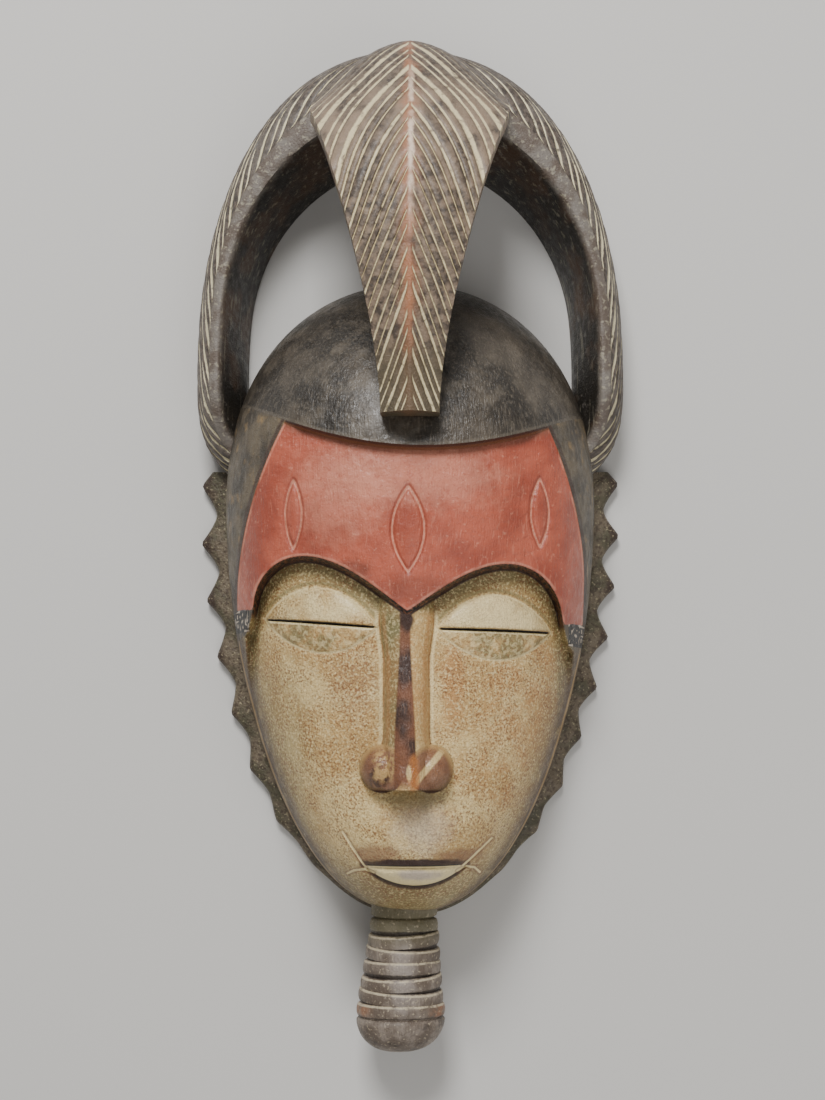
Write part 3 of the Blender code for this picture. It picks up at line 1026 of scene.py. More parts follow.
@dataclass
class Crest:
    """Strap from the top of the arch forward and down to the cap, with a ridge and two facets."""

    top: float
    chin: float
    strokes: Strokes
    arch_bar: float
    top_width: float = 0.082
    end_width: float = 0.023
    thickness: float = 0.013
    ridge: float = 0.0065
    depth: float = 0.1139
    end_above_chin: float = 0.2026
    end_drop: float = 0.006
    setback: float = 0.017
    edge_sink: float = 0.026
    rows: int = 150
    half_columns: int = 26
    cut: float = 0.0008

    @property
    def end(self) -> float:
        """Height of the lower end."""
        return self.chin + self.end_above_chin

    def line(self, share: float) -> Point2:
        """Ridge from the top of the arch, bending forward and then down to the cap."""
        swing = share * math.pi / 2
        start = self.top - 0.2 * self.thickness
        y = start - (self.top - self.end) * (1 - math.cos(swing)) ** 0.92
        rise = 0.26 + 0.74 * math.sin(min(math.pi / 2, swing * 1.28)) ** 0.85
        return y, self.depth * rise - self.end_drop * smooth(share, 0.78, 1.0)

    def half_width(self, y: float) -> float:
        """Half the width, narrowing below the arch."""
        spread = max(0.0, y - self.end) / (self.top - self.arch_bar - self.end)
        return mix(self.end_width, self.top_width, min(1.0, spread) ** 1.4) / 2

    def section(self, share: float) -> Section:
        """Ridge, two facets, thin sides and a flat underside at one place along.

        Args:
            share: Place along the crest, 0 at the top and 1 at the end.

        Returns:
            Points with their stroke count and stroke strength.
        """
        y, z = self.line(share)
        before, after = self.line(max(0.0, share - 0.02)), self.line(min(1.0, share + 0.02))
        run = (after[0] - before[0], after[1] - before[1])
        size = math.hypot(*run)
        down = (-run[1] / size, run[0] / size)
        half = self.half_width(y)
        ridge = self.ridge * (0.5 + 0.5 * smooth(share, 0.1, 0.5))
        back = self.setback * (1 - smooth(share, 0.0, 0.45))
        sink = self.edge_sink * (1 - smooth(share, 0.25, 0.6))
        end = smooth(share, 0.955, 0.99)
        shape = []
        for k in range(self.half_columns + 1):
            across = k / self.half_columns
            soft = 0.06
            drop = math.hypot(across, soft) - soft
            under = 0.84 * drop + 0.16 * drop**3
            shape.append((across, ridge * under * 1.05, 1.0))
        shape.append((1.0, ridge + 0.45 * self.thickness, 0.0))
        shape.append((0.93, ridge + self.thickness, 0.0))
        shape += [(across, ridge + self.thickness, 0.0) for across in (0.7, 0.46, 0.22)]
        shape.append((0.0, ridge + self.thickness, 0.0))
        points = []
        for across, low, mark in shape:
            place = Vector((
                half * across,
                y + down[0] * low - back * across**2,
                z + down[1] * low - sink * across**1.8,
            ))
            count = self.strokes.crest_count(place.x, place.y, place.z)
            worn = smooth(place.x / MM, 0.5, 2.0) * (1 - 0.65 * end)
            points.append((place, count, mark * worn * (1 - smooth(across, 0.97, 1.0) * 0.5)))
        return points + [(Vector((-p.x, p.y, p.z)), c, s) for p, c, s in points[-2:0:-1]]

    def build(self) -> bpy.types.Object:
        """The crest as one closed strap.

        Returns:
            The crest as an object.
        """
        sections = [self.section((k / self.rows) ** 0.93) for k in range(self.rows + 1)]
        return sweep("crest", along_strokes(sections), Part.CREST, self.cut)


@dataclass
class Rim:
    """Flat toothed rim round the back of the face, with points worn blunt."""

    sheet: Sheet
    wall: float = 11.0
    thickness: float = 8.0
    width: float = 4.5
    tooth: float = 7.4
    pitch_left: float = 24.5
    pitch_right: float = 21.8
    start: float = 190.0
    stop: float = 0.8
    steps: int = 190

    def half(self, side: int) -> list[tuple[Vector, Vector, float, float]]:
        """Edge of one side from the temple to the chin.

        Args:
            side: -1 for the viewer's left and 1 for the right.

        Returns:
            Inner point, outward direction, width and how near a tooth's tip it is, for each step.
        """
        pitch = self.pitch_left if side < 0 else self.pitch_right
        walked = 0.25 * pitch
        last = None
        edge = []
        for step in range(self.steps + 1):
            y = self.start - (self.start - self.stop) * math.sin(step / self.steps * math.pi / 2)
            x = self.sheet.half_width(y)
            near, far = self.sheet.half_width(y + 0.3), self.sheet.half_width(y - 0.3)
            size = math.hypot(near - far, 0.6)
            out = (0.6 / size, -(near - far) / size)
            if last:
                walked += math.dist(last, (x, y))
            last = (x, y)
            phase = abs((walked / pitch) % 1.0 - 0.5) * 2
            blunt = math.hypot(phase, 0.07) - 0.07
            fade = smooth(y, 8, 50) * (0.45 + 0.55 * smooth(y, 30, 150))
            ragged = 0.92 + 0.08 * waver(walked, side * 9.0, 15.0)
            reach = self.tooth * fade * max(0.0, 1 - blunt * 1.02) ** 1.5 * ragged
            width = self.width * (0.4 + 0.6 * smooth(y, 5, 60)) + reach
            edge.append((Vector((side * x, y)), Vector((side * out[0], out[1])), width, reach / self.tooth))
        return edge

    def build(self) -> bpy.types.Object:
        """The rim as one closed band let into the wall of the head.

        Returns:
            The rim as an object whose marks map holds the share of the way to a tip.
        """
        sections = []
        for at, out, width, tip in self.half(-1) + self.half(1)[::-1]:
            inner = at - out * 0.45 * self.wall
            section = [(self.sheet.place(inner.x, inner.y, 0.0), 0.5, 0.0)]
            for share, up in ((0.82, 0.0), (1.0, 0.14), (1.0, 0.58), (0.86, 0.76), (0.5, 0.88), (0.15, 1.0)):
                point = at + out * width * share
                place = self.sheet.place(point.x, point.y, self.thickness * up)
                section.append((place, 0.5, tip * smooth(share, 0.3, 1.0)))
            section.append((self.sheet.place(inner.x, inner.y, self.thickness * 1.15), 0.5, 0.0))
            sections.append(section)
        return sweep("rim", sections, Part.RIM, 0.0)


@dataclass
class Beard:
    """Ringed beard under the chin: cups with a light ledge on their upper edges."""

    chin: float
    end: float
    top_radius: float = 0.0138
    end_radius: float = 0.0186
    axis_height: float = 0.024
    rings: int = 7
    ledge: float = 0.0015
    tip: float = 0.0145
    off_centre: Point2 = (-0.0026, -0.0045)
    sides: int = 44

    def outline(self) -> list[tuple[float, float, float]]:
        """Height along, radius and ring count of each section, from inside the chin to the tip."""
        ring_end = self.end + self.tip
        pitch = (self.chin - ring_end) / self.rings
        outline = [(self.chin + above, self.top_radius, 0.0) for above in (0.010, 0.0012)]
        shares = (0.0, 0.035, 0.09, 0.17, 0.45, 0.75, 0.95)
        swells = (-1.0, -0.9, -0.25, 0.0, 0.12, -0.05, -0.35)
        for ring in range(self.rings):
            for share, swell in zip(shares, swells):
                y = self.chin - pitch * (ring + share)
                radius = mix(self.top_radius, self.end_radius, (ring + share) / self.rings)
                outline.append((y, radius + swell * self.ledge, ring + share))
        for step in range(15):
            turn = math.radians(6 * step)
            fall = (ring_end - self.end) * math.sin(turn)
            radius = self.end_radius * max(0.02, math.cos(turn)) ** 0.72
            outline.append((ring_end - fall, radius - self.ledge * bell(step, 0.6), self.rings + 0.2))
        return outline

    def build(self) -> bpy.types.Object:
        """The beard as one closed turned form, a little out of round.

        Returns:
            The beard as an object whose marks map holds the ring count.
        """
        sections = []
        for y, radius, ring in self.outline():
            share = (self.chin - y) / (self.chin - self.end)
            middle = mix(self.off_centre[0], self.off_centre[1], share)
            section = []
            for k in range(self.sides):
                angle = 2 * math.pi * (k + 0.5) / self.sides
                wave = 1 + 0.012 * math.sin(3 * angle + ring) + 0.008 * waver(k, ring * 3, 2.5)
                tilt = 0.0008 * math.sin(angle + 2.1 * math.floor(ring)) * (0 < ring < self.rings)
                place = Vector((
                    middle + radius * wave * math.cos(angle),
                    y + tilt,
                    self.axis_height + radius * wave * math.sin(angle),
                ))
                section.append((place, ring, 0.0))
            sections.append(section)
        return sweep("beard", sections, Part.BEARD, 0.0)


@dataclass
class Bowl:
    """Hollow behind the face, left with the shallow scoops of an adze."""

    sheet: Sheet
    wall: float = 11.0
    face_wall: float = 12.0
    past_back: float = 5.0
    middle_share: float = 0.53
    scoop: float = 0.5
    around: int = 64
    along: int = 44

    def build(self) -> bpy.types.Object:
        """The shape that is cut out of the back.

        Returns:
            The bowl as a closed object.
        """
        mesh = bmesh.new()
        bmesh.ops.create_uvsphere(mesh, u_segments=self.around, v_segments=self.along, radius=1.0)
        half = self.sheet.half - self.wall
        low, high = self.wall, self.sheet.length - self.wall
        middle = mix(low, high, self.middle_share)
        depth = self.sheet.face_plane - self.face_wall
        for vert in mesh.verts:
            swing = vert.co.z * 0.995
            turn = math.atan2(abs(vert.co.y), vert.co.x)
            y = middle + ((high - middle) if swing > 0 else (middle - low)) * swing
            reach = half * arc(swing, 2.1 if swing > 0 else 1.9, 0.5)
            across = math.copysign(abs(math.cos(turn)) ** 0.85, math.cos(turn))
            up = depth * arc(swing, 2.4, 0.5) * math.sin(turn) ** 0.9
            if vert.co.y < 0:
                up = -self.past_back * min(1.0, 3 * math.sin(turn))
            elif up > 1:
                cut = abs(waver(reach * across, y * 0.6, 8.0, 5.0)) - 0.4
                up -= self.scoop * cut * smooth(up, 1, 12)
            vert.co = self.sheet.place(reach * across, y, up + 0.4 * (vert.co.y >= 0))
        bmesh.ops.recalc_face_normals(mesh, faces=mesh.faces)
        return make_object("bowl", mesh, Part.BACK)


def store_hollow(data: bpy.types.Mesh) -> None:
    """Stores on each vertex how hollow the surface is there, in 1/mm: edges come out negative.

    Args:
        data: The finished mesh.
    """
    mesh = bmesh.new()
    mesh.from_mesh(data)
    mesh.verts.ensure_lookup_table()
    bends = []
    for vert in mesh.verts:
        steps = [edge.other_vert(vert).co - vert.co for edge in vert.link_edges]
        rises = [step.dot(vert.normal) / max(step.length, 0.3 * MM) ** 2 * MM for step in steps]
        bends.append(sum(rises) / max(1, len(rises)))
    even = []
    for vert in mesh.verts:
        near = [bends[edge.other_vert(vert).index] for edge in vert.link_edges]
        even.append((bends[vert.index] + sum(near) / max(1, len(near))) / 2)
    mesh.free()
    data.attributes.new(HOLLOW, "FLOAT", "POINT").data.foreach_set("value", even)


@dataclass
class Mask:
    """The whole mask, joined into one carved body."""

    head: Head
    arch: Arch
    crest: Crest
    rim: Rim
    beard: Beard
    bowl: Bowl

    def combine(self, target: bpy.types.Object, tool: bpy.types.Object, operation: str) -> None:
        """Applies one exact Boolean and removes the tool."""
        modifier = target.modifiers.new("join", "BOOLEAN")
        modifier.operation = operation
        modifier.solver = "EXACT"
        modifier.object = tool
        graph = bpy.context.evaluated_depsgraph_get()
        result = bpy.data.meshes.new_from_object(target.evaluated_get(graph))
        target.modifiers.clear()
        target.data = result
        bpy.data.objects.remove(tool)

    def build(self) -> bpy.types.Object:
        """Carves every area and joins them.

        Returns:
            The mask as one object.
        """
        body = self.arch.build()
        LOG.info("arch: %d faces", len(body.data.polygons))
        for piece in (self.crest, self.rim, self.beard, self.head):
            added = piece.build()
            LOG.info("%s: %d faces", added.name, len(added.data.polygons))
            self.combine(body, added, "UNION")
        self.combine(body, self.bowl.build(), "DIFFERENCE")
        body.name = "carved_mask"
        body.data.name = "carved_mask"
        LOG.info("carved_mask: %d faces", len(body.data.polygons))
        body.data.set_sharp_from_angle(angle=math.radians(48))
        self.head.store_gaps(body.data)
        store_hollow(body.data)
        return body


def paint(red: int, green: int, blue: int) -> Colour:
    """A screen colour as the linear colour that a shader takes."""
    linear = [((c / 255 + 0.055) / 1.055) ** 2.4 if c > 10 else c / 255 / 12.92 for c in (red, green, blue)]
    return linear[0], linear[1], linear[2], 1.0


class Graph:
    """Short calls that place and join shader nodes in one tree."""

    def __init__(self, tree: bpy.types.NodeTree, chin: float) -> None:
        """Takes the tree, and the chin's place along the mask in metres."""
        self.tree = tree
        self.chin = chin
        self.given: bpy.types.NodeOutputs | None = None
        self.coordinates: Socket | None = None

    def node(self, kind: str, **settings: object) -> bpy.types.Node:
        """Adds a node and changes some of its settings."""
        node = self.tree.nodes.new(kind)
        for name, value in settings.items():
            setattr(node, name, value)
        return node

    def feed(self, socket: Socket, value: object) -> None:
        """Joins an input to an output, or gives it a plain value."""
        if isinstance(value, bpy.types.NodeSocket):
            self.tree.links.new(value, socket)
        else:
            socket.default_value = value

    @property
    def sheet(self) -> Socket:
        """Place on the mask in millimetres with the chin at 0, from the object's own coordinates."""
        if self.coordinates is None:
            mapping = self.node("ShaderNodeMapping")
            mapping.inputs["Scale"].default_value = (1 / MM, 1 / MM, 1 / MM)
            mapping.inputs["Location"].default_value = (0.0, -self.chin / MM, 0.0)
            self.feed(mapping.inputs["Vector"], self.node("ShaderNodeTexCoord").outputs["Object"])
            self.coordinates = mapping.outputs["Vector"]
        return self.coordinates

    def axis(self, vector: Socket, name: str) -> Socket:
        """One part of a vector."""
        split = self.node("ShaderNodeSeparateXYZ")
        self.feed(split.inputs[0], vector)
        return split.outputs[name]

    def math(self, operation: str, *values: object) -> Socket:
        """One step of arithmetic."""
        node = self.node("ShaderNodeMath", operation=operation)
        for socket, value in zip(node.inputs, values):
            self.feed(socket, value)
        return node.outputs[0]

    def times(self, *values: object) -> Socket:
        """Product of masks and plain numbers."""
        product = values[0]
        for value in values[1:]:
            product = self.math("MULTIPLY", product, value)
        return product

    def ease(self, value: object, low: object, high: object) -> Socket:
        """0 at low and 1 at high, on an S curve, also where low is the larger."""
        node = self.node("ShaderNodeMapRange", interpolation_type="SMOOTHSTEP")
        for name, number in (("Value", value), ("From Min", low), ("From Max", high)):
            self.feed(node.inputs[name], number)
        return node.outputs["Result"]

    def level(self, share: Socket, low: float, high: float) -> Socket:
        """A value between two others."""
        return self.math("MULTIPLY_ADD", share, high - low, low)

    def blend(self, share: object, first: object, second: object) -> Socket:
        """A colour between two others."""
        node = self.node("ShaderNodeMix", data_type="RGBA")
        self.feed(node.inputs[0], share)
        self.feed(node.inputs[6], first)
        self.feed(node.inputs[7], second)
        return node.outputs[2]

    def cover(self, colour: object, *coats: tuple[object, ...]) -> Socket:
        """Lays coats over a first colour: a coat is its masks, which are multiplied, and its colour."""
        for *masks, coat in coats:
            colour = self.blend(self.times(*masks), colour, coat)
        return colour

    def attribute(self, name: str) -> Socket:
        """A number stored on the mesh."""
        return self.node("ShaderNodeAttribute", attribute_name=name).outputs["Fac"]

    def noise(self, vector: Socket, scale: object, detail: object = 2.0) -> Socket:
        """Cloudy noise about a half."""
        node = self.node("ShaderNodeTexNoise")
        self.feed(node.inputs["Vector"], vector)
        self.feed(node.inputs["Scale"], scale)
        self.feed(node.inputs["Detail"], detail)
        return node.outputs[0]

    def shake(self, scale: float, detail: float = 3.0) -> Socket:
        """Noise about nought, which makes an edge uneven."""
        return self.math("SUBTRACT", self.noise(self.sheet, scale, detail), 0.5)

    def marks(self, name: str) -> Socket:
        """One part of the map that counts strokes and rings."""
        return self.axis(self.node("ShaderNodeUVMap", uv_map=MARKS).outputs["UV"], name)

    def vector(self, operation: str, first: Socket, second: Socket) -> bpy.types.Node:
        """One step of arithmetic with vectors."""
        node = self.node("ShaderNodeVectorMath", operation=operation)
        self.feed(node.inputs[0], first)
        self.feed(node.inputs[1], second)
        return node

    def use(self, group: bpy.types.NodeTree, *values: object) -> Socket:
        """Places a group with its inputs in order and gives its output."""
        node = self.node("ShaderNodeGroup", node_tree=group)
        for socket, value in zip(node.inputs, values):
            self.feed(socket, value)
        return node.outputs[0]


class Effects:
    """Effects that several finishes share, each a node group that is built once."""

    def __init__(self, chin: float) -> None:
        """Builds every group for a mask whose chin is at a place along it."""
        self.chin = chin
        self.mottle = self.build_mottle()
        self.grain = self.build_grain()
        self.line = self.build_line()
        self.spot = self.build_spot()
        self.wear_and_shade = self.build_wear_and_shade()
        self.strokes = self.build_strokes()

    def start(self, name: str, **inputs: object) -> Graph:
        """Opens a group.

        Args:
            name: The group's name.
            inputs: Name and first value of each input.

        Returns:
            The group's graph, with its inputs in `given`.
        """
        tree = bpy.data.node_groups.new(name, "ShaderNodeTree")
        for label, value in inputs.items():
            kind = "NodeSocketVector" if isinstance(value, tuple) else "NodeSocketFloat"
            tree.interface.new_socket(label, in_out="INPUT", socket_type=kind).default_value = value
        graph = Graph(tree, self.chin)
        graph.given = graph.node("NodeGroupInput").outputs
        return graph

    def end(self, graph: Graph, mask: Socket) -> bpy.types.NodeTree:
        """Closes a group with its one mask."""
        graph.tree.interface.new_socket("mask", in_out="OUTPUT", socket_type="NodeSocketFloat")
        graph.feed(graph.node("NodeGroupOutput").inputs["mask"], mask)
        return graph.tree

    def build_mottle(self) -> bpy.types.NodeTree:
        """Cloudy patches or specks: inputs scale, seed, low, high and detail."""
        graph = self.start("mottle", scale=0.1, seed=0.0, low=0.4, high=0.6, detail=2.0)
        given = graph.given
        place = graph.vector("ADD", graph.sheet, graph.times(given["seed"], SEED_STEP)).outputs[0]
        cloud = graph.noise(place, given["scale"], given["detail"])
        return self.end(graph, graph.ease(cloud, given["low"], given["high"]))

    def build_grain(self) -> bpy.types.NodeTree:
        """Streaks along the wood: inputs scale, stretch, low and high."""
        graph = self.start("grain", scale=1.0, stretch=12.0, low=0.4, high=0.6)
        given = graph.given
        sheet = graph.sheet
        bent = graph.math("MULTIPLY_ADD", graph.noise(sheet, 0.03), 6.0, graph.axis(sheet, "X"))
        place = graph.node("ShaderNodeCombineXYZ")
        graph.feed(place.inputs["X"], bent)
        graph.feed(place.inputs["Y"], graph.math("DIVIDE", graph.axis(sheet, "Y"), given["stretch"]))
        graph.feed(place.inputs["Z"], graph.axis(sheet, "Z"))
        cloud = graph.noise(place.outputs[0], given["scale"], 3.0)
        return self.end(graph, graph.ease(cloud, given["low"], given["high"]))

    def build_line(self) -> bpy.types.NodeTree:
        """A hand-drawn line where a distance is near nought: inputs distance, half, soft and wobble."""
        graph = self.start("line", distance=0.0, half=0.5, soft=0.2, wobble=0.4)
        given = graph.given
        shake = graph.shake(0.35)
        away = graph.math("ABSOLUTE", graph.math("MULTIPLY_ADD", shake, given["wobble"], given["distance"]))
        wide = graph.math("ADD", given["half"], given["soft"])
        narrow = graph.math("SUBTRACT", given["half"], given["soft"])
        return self.end(graph, graph.ease(away, wide, narrow))

    def build_spot(self) -> bpy.types.NodeTree:
        """A soft patch at a place on the sheet: inputs centre, reach, soft and ragged."""
        graph = self.start("spot", centre=(0.0, 0.0, 0.0), reach=(9.0, 9.0, 99.0), soft=0.6, ragged=0.8)
        given = graph.given
        away = graph.vector("SUBTRACT", graph.sheet, given["centre"])
        shared = graph.vector("DIVIDE", away.outputs[0], given["reach"])
        size = graph.node("ShaderNodeVectorMath", operation="LENGTH")
        graph.feed(size.inputs[0], shared.outputs[0])
        shake = graph.shake(0.22, 4.0)
        edge = graph.math("MULTIPLY_ADD", shake, given["ragged"], size.outputs["Value"])
        return self.end(graph, graph.ease(edge, 1.0, graph.math("SUBTRACT", 1.0, given["soft"])))

    def build_wear_and_shade(self) -> bpy.types.NodeTree:
        """Edges or hollows of the form: inputs low and high of the hollowness, and ragged."""
        graph = self.start("wear_and_shade", low=0.1, high=0.5, ragged=0.3)
        given = graph.given
        shake = graph.shake(0.6)
        bend = graph.math("MULTIPLY_ADD", shake, given["ragged"], graph.attribute(HOLLOW))
        return self.end(graph, graph.ease(bend, given["low"], given["high"]))

    def build_strokes(self) -> bpy.types.NodeTree:
        """Incised strokes from the marks map: inputs half, shift and ragged, in strokes."""
        graph = self.start("strokes", half=0.15, shift=0.0, ragged=0.5)
        given = graph.given
        shake = graph.shake(0.45)
        count = graph.math("ADD", graph.marks("X"), given["shift"])
        count = graph.math("MULTIPLY_ADD", shake, 0.10, count)
        away = graph.math("PINGPONG", count, 0.5)
        width = graph.times(given["half"], graph.level(graph.noise(graph.sheet, 0.12), 0.2, 1.8))
        cut = graph.ease(away, graph.math("ADD", width, 0.05), graph.math("SUBTRACT", width, 0.05))
        strength = graph.math("MULTIPLY_ADD", shake, given["ragged"], graph.marks("Y"))
        return self.end(graph, graph.times(cut, graph.ease(strength, 0.15, 0.4)))


class Finish:
    """Base of the finishes: opens a material and closes it on the wood's shader."""

    relief = 0.0003
    wax = 0.12
    wax_roughness = 0.3

    def __init__(self, effects: Effects, area: Part) -> None:
        """Opens the material of an area."""
        self.effects = effects
        self.material = bpy.data.materials.new(area.name.lower())
        self.material.use_nodes = True
        self.graph = Graph(self.material.node_tree, effects.chin)

    def mottle(self, scale: float, seed: float, low: float, high: float, detail: float = 2.0) -> Socket:
        """Cloudy patches of about 1/scale millimetres."""
        return self.graph.use(self.effects.mottle, scale, seed, low, high, detail)

    def line(self, distance: Socket, half: float, soft: float = 0.2, wobble: float = 0.4) -> Socket:
        """A line where the distance is near nought."""
        return self.graph.use(self.effects.line, distance, half, soft, wobble)

    def beside(self, distance: Socket, offset: float, half: float, soft: float = 0.2) -> Socket:
        """A line at an offset from where the distance is nought."""
        return self.line(self.graph.math("SUBTRACT", distance, offset), half, soft)

    def spot(self, x: float, y: float, across: float, along: float, soft: float = 0.6) -> Socket:
        """A soft patch about a place on the sheet."""
        return self.graph.use(self.effects.spot, (x, y, 0.0), (across, along, 1000.0), soft)

    def grain(self, scale: float, stretch: float, low: float, high: float) -> Socket:
        """Streaks along the wood."""
        return self.graph.use(self.effects.grain, scale, stretch, low, high)

    def wear_and_shade(self, low: float, high: float, ragged: float) -> Socket:
        """Edges, where low and high are below nought, or hollows."""
        return self.graph.use(self.effects.wear_and_shade, low, high, ragged)

    def strokes(self, half: float, shift: float, ragged: float) -> Socket:
        """Incised strokes, their half width and shift counted in strokes."""
        return self.graph.use(self.effects.strokes, half, shift, ragged)

    def dress(self) -> bpy.types.Material:
        """Lays the coats of the area, which each finish does in its own way."""
        raise NotImplementedError

    def close(self, colour: Socket, roughness: Socket, height: Socket) -> bpy.types.Material:
        """Joins colour, roughness and relief to the shader."""
        graph = self.graph
        shader = graph.tree.nodes["Principled BSDF"]
        bump = graph.node("ShaderNodeBump")
        bump.inputs["Distance"].default_value = self.relief
        graph.feed(bump.inputs["Height"], height)
        graph.feed(shader.inputs["Base Color"], colour)
        graph.feed(shader.inputs["Roughness"], roughness)
        shader.inputs["Coat Weight"].default_value = self.wax
        shader.inputs["Coat Roughness"].default_value = self.wax_roughness
        graph.feed(shader.inputs["Normal"], bump.outputs["Normal"])
        return self.material


class HeadFinish(Finish):
    """Cream face, red forehead and dark waxed cap, each painted up to the carved lines."""

    cream = paint(226, 198, 138)
    cream_dark = paint(196, 160, 102)
    cream_light = paint(246, 226, 170)
    speck = paint(132, 88, 50)
    grey_green = paint(122, 112, 72)
    ochre = paint(182, 124, 70)
    brown = paint(118, 74, 48)
    dark_brown = paint(58, 36, 26)
    black = paint(24, 19, 16)
    pale_grey = paint(206, 190, 168)
    amber = paint(176, 110, 56)
    chestnut = paint(138, 98, 70)
    red = paint(184, 94, 71)
    red_dark = paint(154, 72, 53)
    pink = paint(222, 152, 126)
    cap = paint(72, 64, 54)
    cap_dark = paint(40, 35, 29)
    # grey haze; on the cap it is dust with painted sheen
    grey_haze = paint(112, 102, 88)
    band = paint(100, 88, 68)

    def face(self) -> Socket:
        """Cream wood, freckled all over, greyer towards the chin, with painted shade under the brows and
        partly painted shade along the sides.
        """
        graph, at = self.graph, self.graph.attribute
        y = graph.axis(graph.sheet, "Y")
        side = at("side")
        # painted shade on the face below the brow's overhang, outside the lids
        brow_shade = graph.times(graph.ease(at("brow"), -14, -3), graph.ease(at("lid"), 0.5, -2.5))
        return graph.cover(
            self.cream,
            (self.mottle(0.05, 1, 0.38, 0.62), self.cream_dark),
            (self.spot(50, 76, 30, 52), self.mottle(0.10, 50, 0.3, 0.6, 3), 0.5, self.ochre),
            (self.spot(-22, 96, 14, 17), self.mottle(1.1, 51, 0.40, 0.56, 3), 0.6, self.chestnut),
            (self.spot(17, 98, 6, 24), 0.5, self.ochre),
            (self.spot(-52, 72, 18, 42), 0.35, self.grey_green),
            (graph.ease(y, 34, 12), 0.75, self.grey_green),
            # greyer towards the sides, partly painted shade where the face turns away from the light
            (graph.ease(side, 19, 6), 0.6, self.grey_green),
            # painted shade under the brow
            (brow_shade, 0.85, self.grey_green),
            (self.mottle(1.1, 2, 0.48, 0.60, 4), self.mottle(0.09, 3, 0.30, 0.55), 0.8, self.speck),
            (self.mottle(1.6, 4, 0.56, 0.64, 3), 0.6, self.speck),
            (self.mottle(1.0, 5, 0.50, 0.64, 4), 0.5, self.cream_light),
            # darker along the outline, partly painted shade where the face turns away from the light
            (graph.ease(side, 11, 3), self.mottle(0.12, 6, 0.22, 0.5, 3), 0.85, self.dark_brown),
            (self.beside(side, 2.2, 0.5, 0.4), graph.ease(y, 150, 120), 0.7, self.cream_dark),
            # pale patch on the philtrum: rubbed paint and partly a painted highlight
            (self.spot(4, 42, 17, 18, 0.9), 0.5, self.pale_grey),
            # painted shadow on the upper lip under the nose
            (self.spot(2, 52, 20, 6, 0.8), 0.6, self.grey_green),
            (self.spot(-14, 30, 13, 5), 0.7, self.chestnut),
            (self.spot(19, 29, 13, 4), 0.7, self.chestnut),
        )

    def eyes(self, colour: Socket) -> Socket:
        """Lids, the black slits and the pale line under each, with the upper lids lightened partly as a
        painted highlight and painted shade in the crease above them.
        """
        graph, at = self.graph, self.graph.attribute
        lid, slit = at("lid"), at("slit")
        inside = graph.ease(lid, -0.3, 0.8)
        lower = graph.times(inside, graph.ease(slit, 0.0, -1.5))
        upper = graph.times(inside, graph.ease(slit, 0.0, 1.5))
        olive = graph.blend(self.mottle(0.12, 8, 0.4, 0.6), self.cream_dark, self.grey_green)
        opening = graph.ease(lid, 0.5, 1.6)
        return graph.cover(
            colour,
            # upper lids lightened: paler paint and partly a painted highlight
            (upper, self.mottle(0.07, 7, 0.3, 0.6), 0.7, self.cream_light),
            (lower, 0.75, olive),
            (lower, self.mottle(0.9, 9, 0.5, 0.62), 0.5, self.speck),
            (self.mottle(0.5, 52, 0.45, 0.6, 3), lower, 0.4, self.cream_light),
            (self.beside(lid, 0.1, 0.4, 0.4), self.mottle(0.2, 53, 0.2, 0.5), 0.75, self.cream_light),
            # painted shade in the crease along the top of each lid
            (self.beside(lid, -1.6, 0.7, 0.6), graph.ease(slit, 0, 4), 0.6, self.grey_green),
            (self.beside(slit, -1.1, 0.45), opening, self.mottle(0.25, 54, 0.2, 0.5), self.cream_light),
            (self.beside(slit, -0.2, 0.42, 0.15), opening, self.black),
        )

    def nose(self, colour: Socket) -> Socket:
        """Stained sides, dark worn ridge and the two shiny balls, with a painted highlight, lighter upper
        edges and painted shade on their lower edges.
        """
        graph, at = self.graph, self.graph.attribute
        x, y = graph.axis(graph.sheet, "X"), graph.axis(graph.sheet, "Y")
        gap, wing = at("nose"), at("wing")
        length = graph.times(graph.ease(y, 70, 74), graph.ease(y, 127, 122))
        inside = graph.times(graph.ease(gap, 0.4, -0.4), length)
        facet = graph.blend(graph.ease(x, -3, 0), self.grey_green, self.cream_dark)
        facet = graph.cover(
            facet,
            (self.mottle(0.06, 10, 0.35, 0.65), 0.4, self.ochre),
            (self.mottle(0.9, 11, 0.48, 0.62, 3), 0.35, self.cream_light),
            (self.beside(gap, -1.6, 0.8, 0.6), 0.4, self.ochre),
        )
        across = graph.math("ADD", x, 1.9)
        half = graph.math("MULTIPLY_ADD", graph.ease(y, 121, 66), 2.2, 2.0)
        past = graph.math("SUBTRACT", graph.math("ABSOLUTE", across), half)
        ridge = graph.times(graph.ease(past, 0.5, -0.5), graph.ease(y, 54, 60), graph.ease(y, 128, 124))
        ball = graph.ease(wing, 1.03, 0.97)
        slant = graph.math("MULTIPLY_ADD", y, -0.66, graph.math("MULTIPLY_ADD", x, 0.75, 37.2))
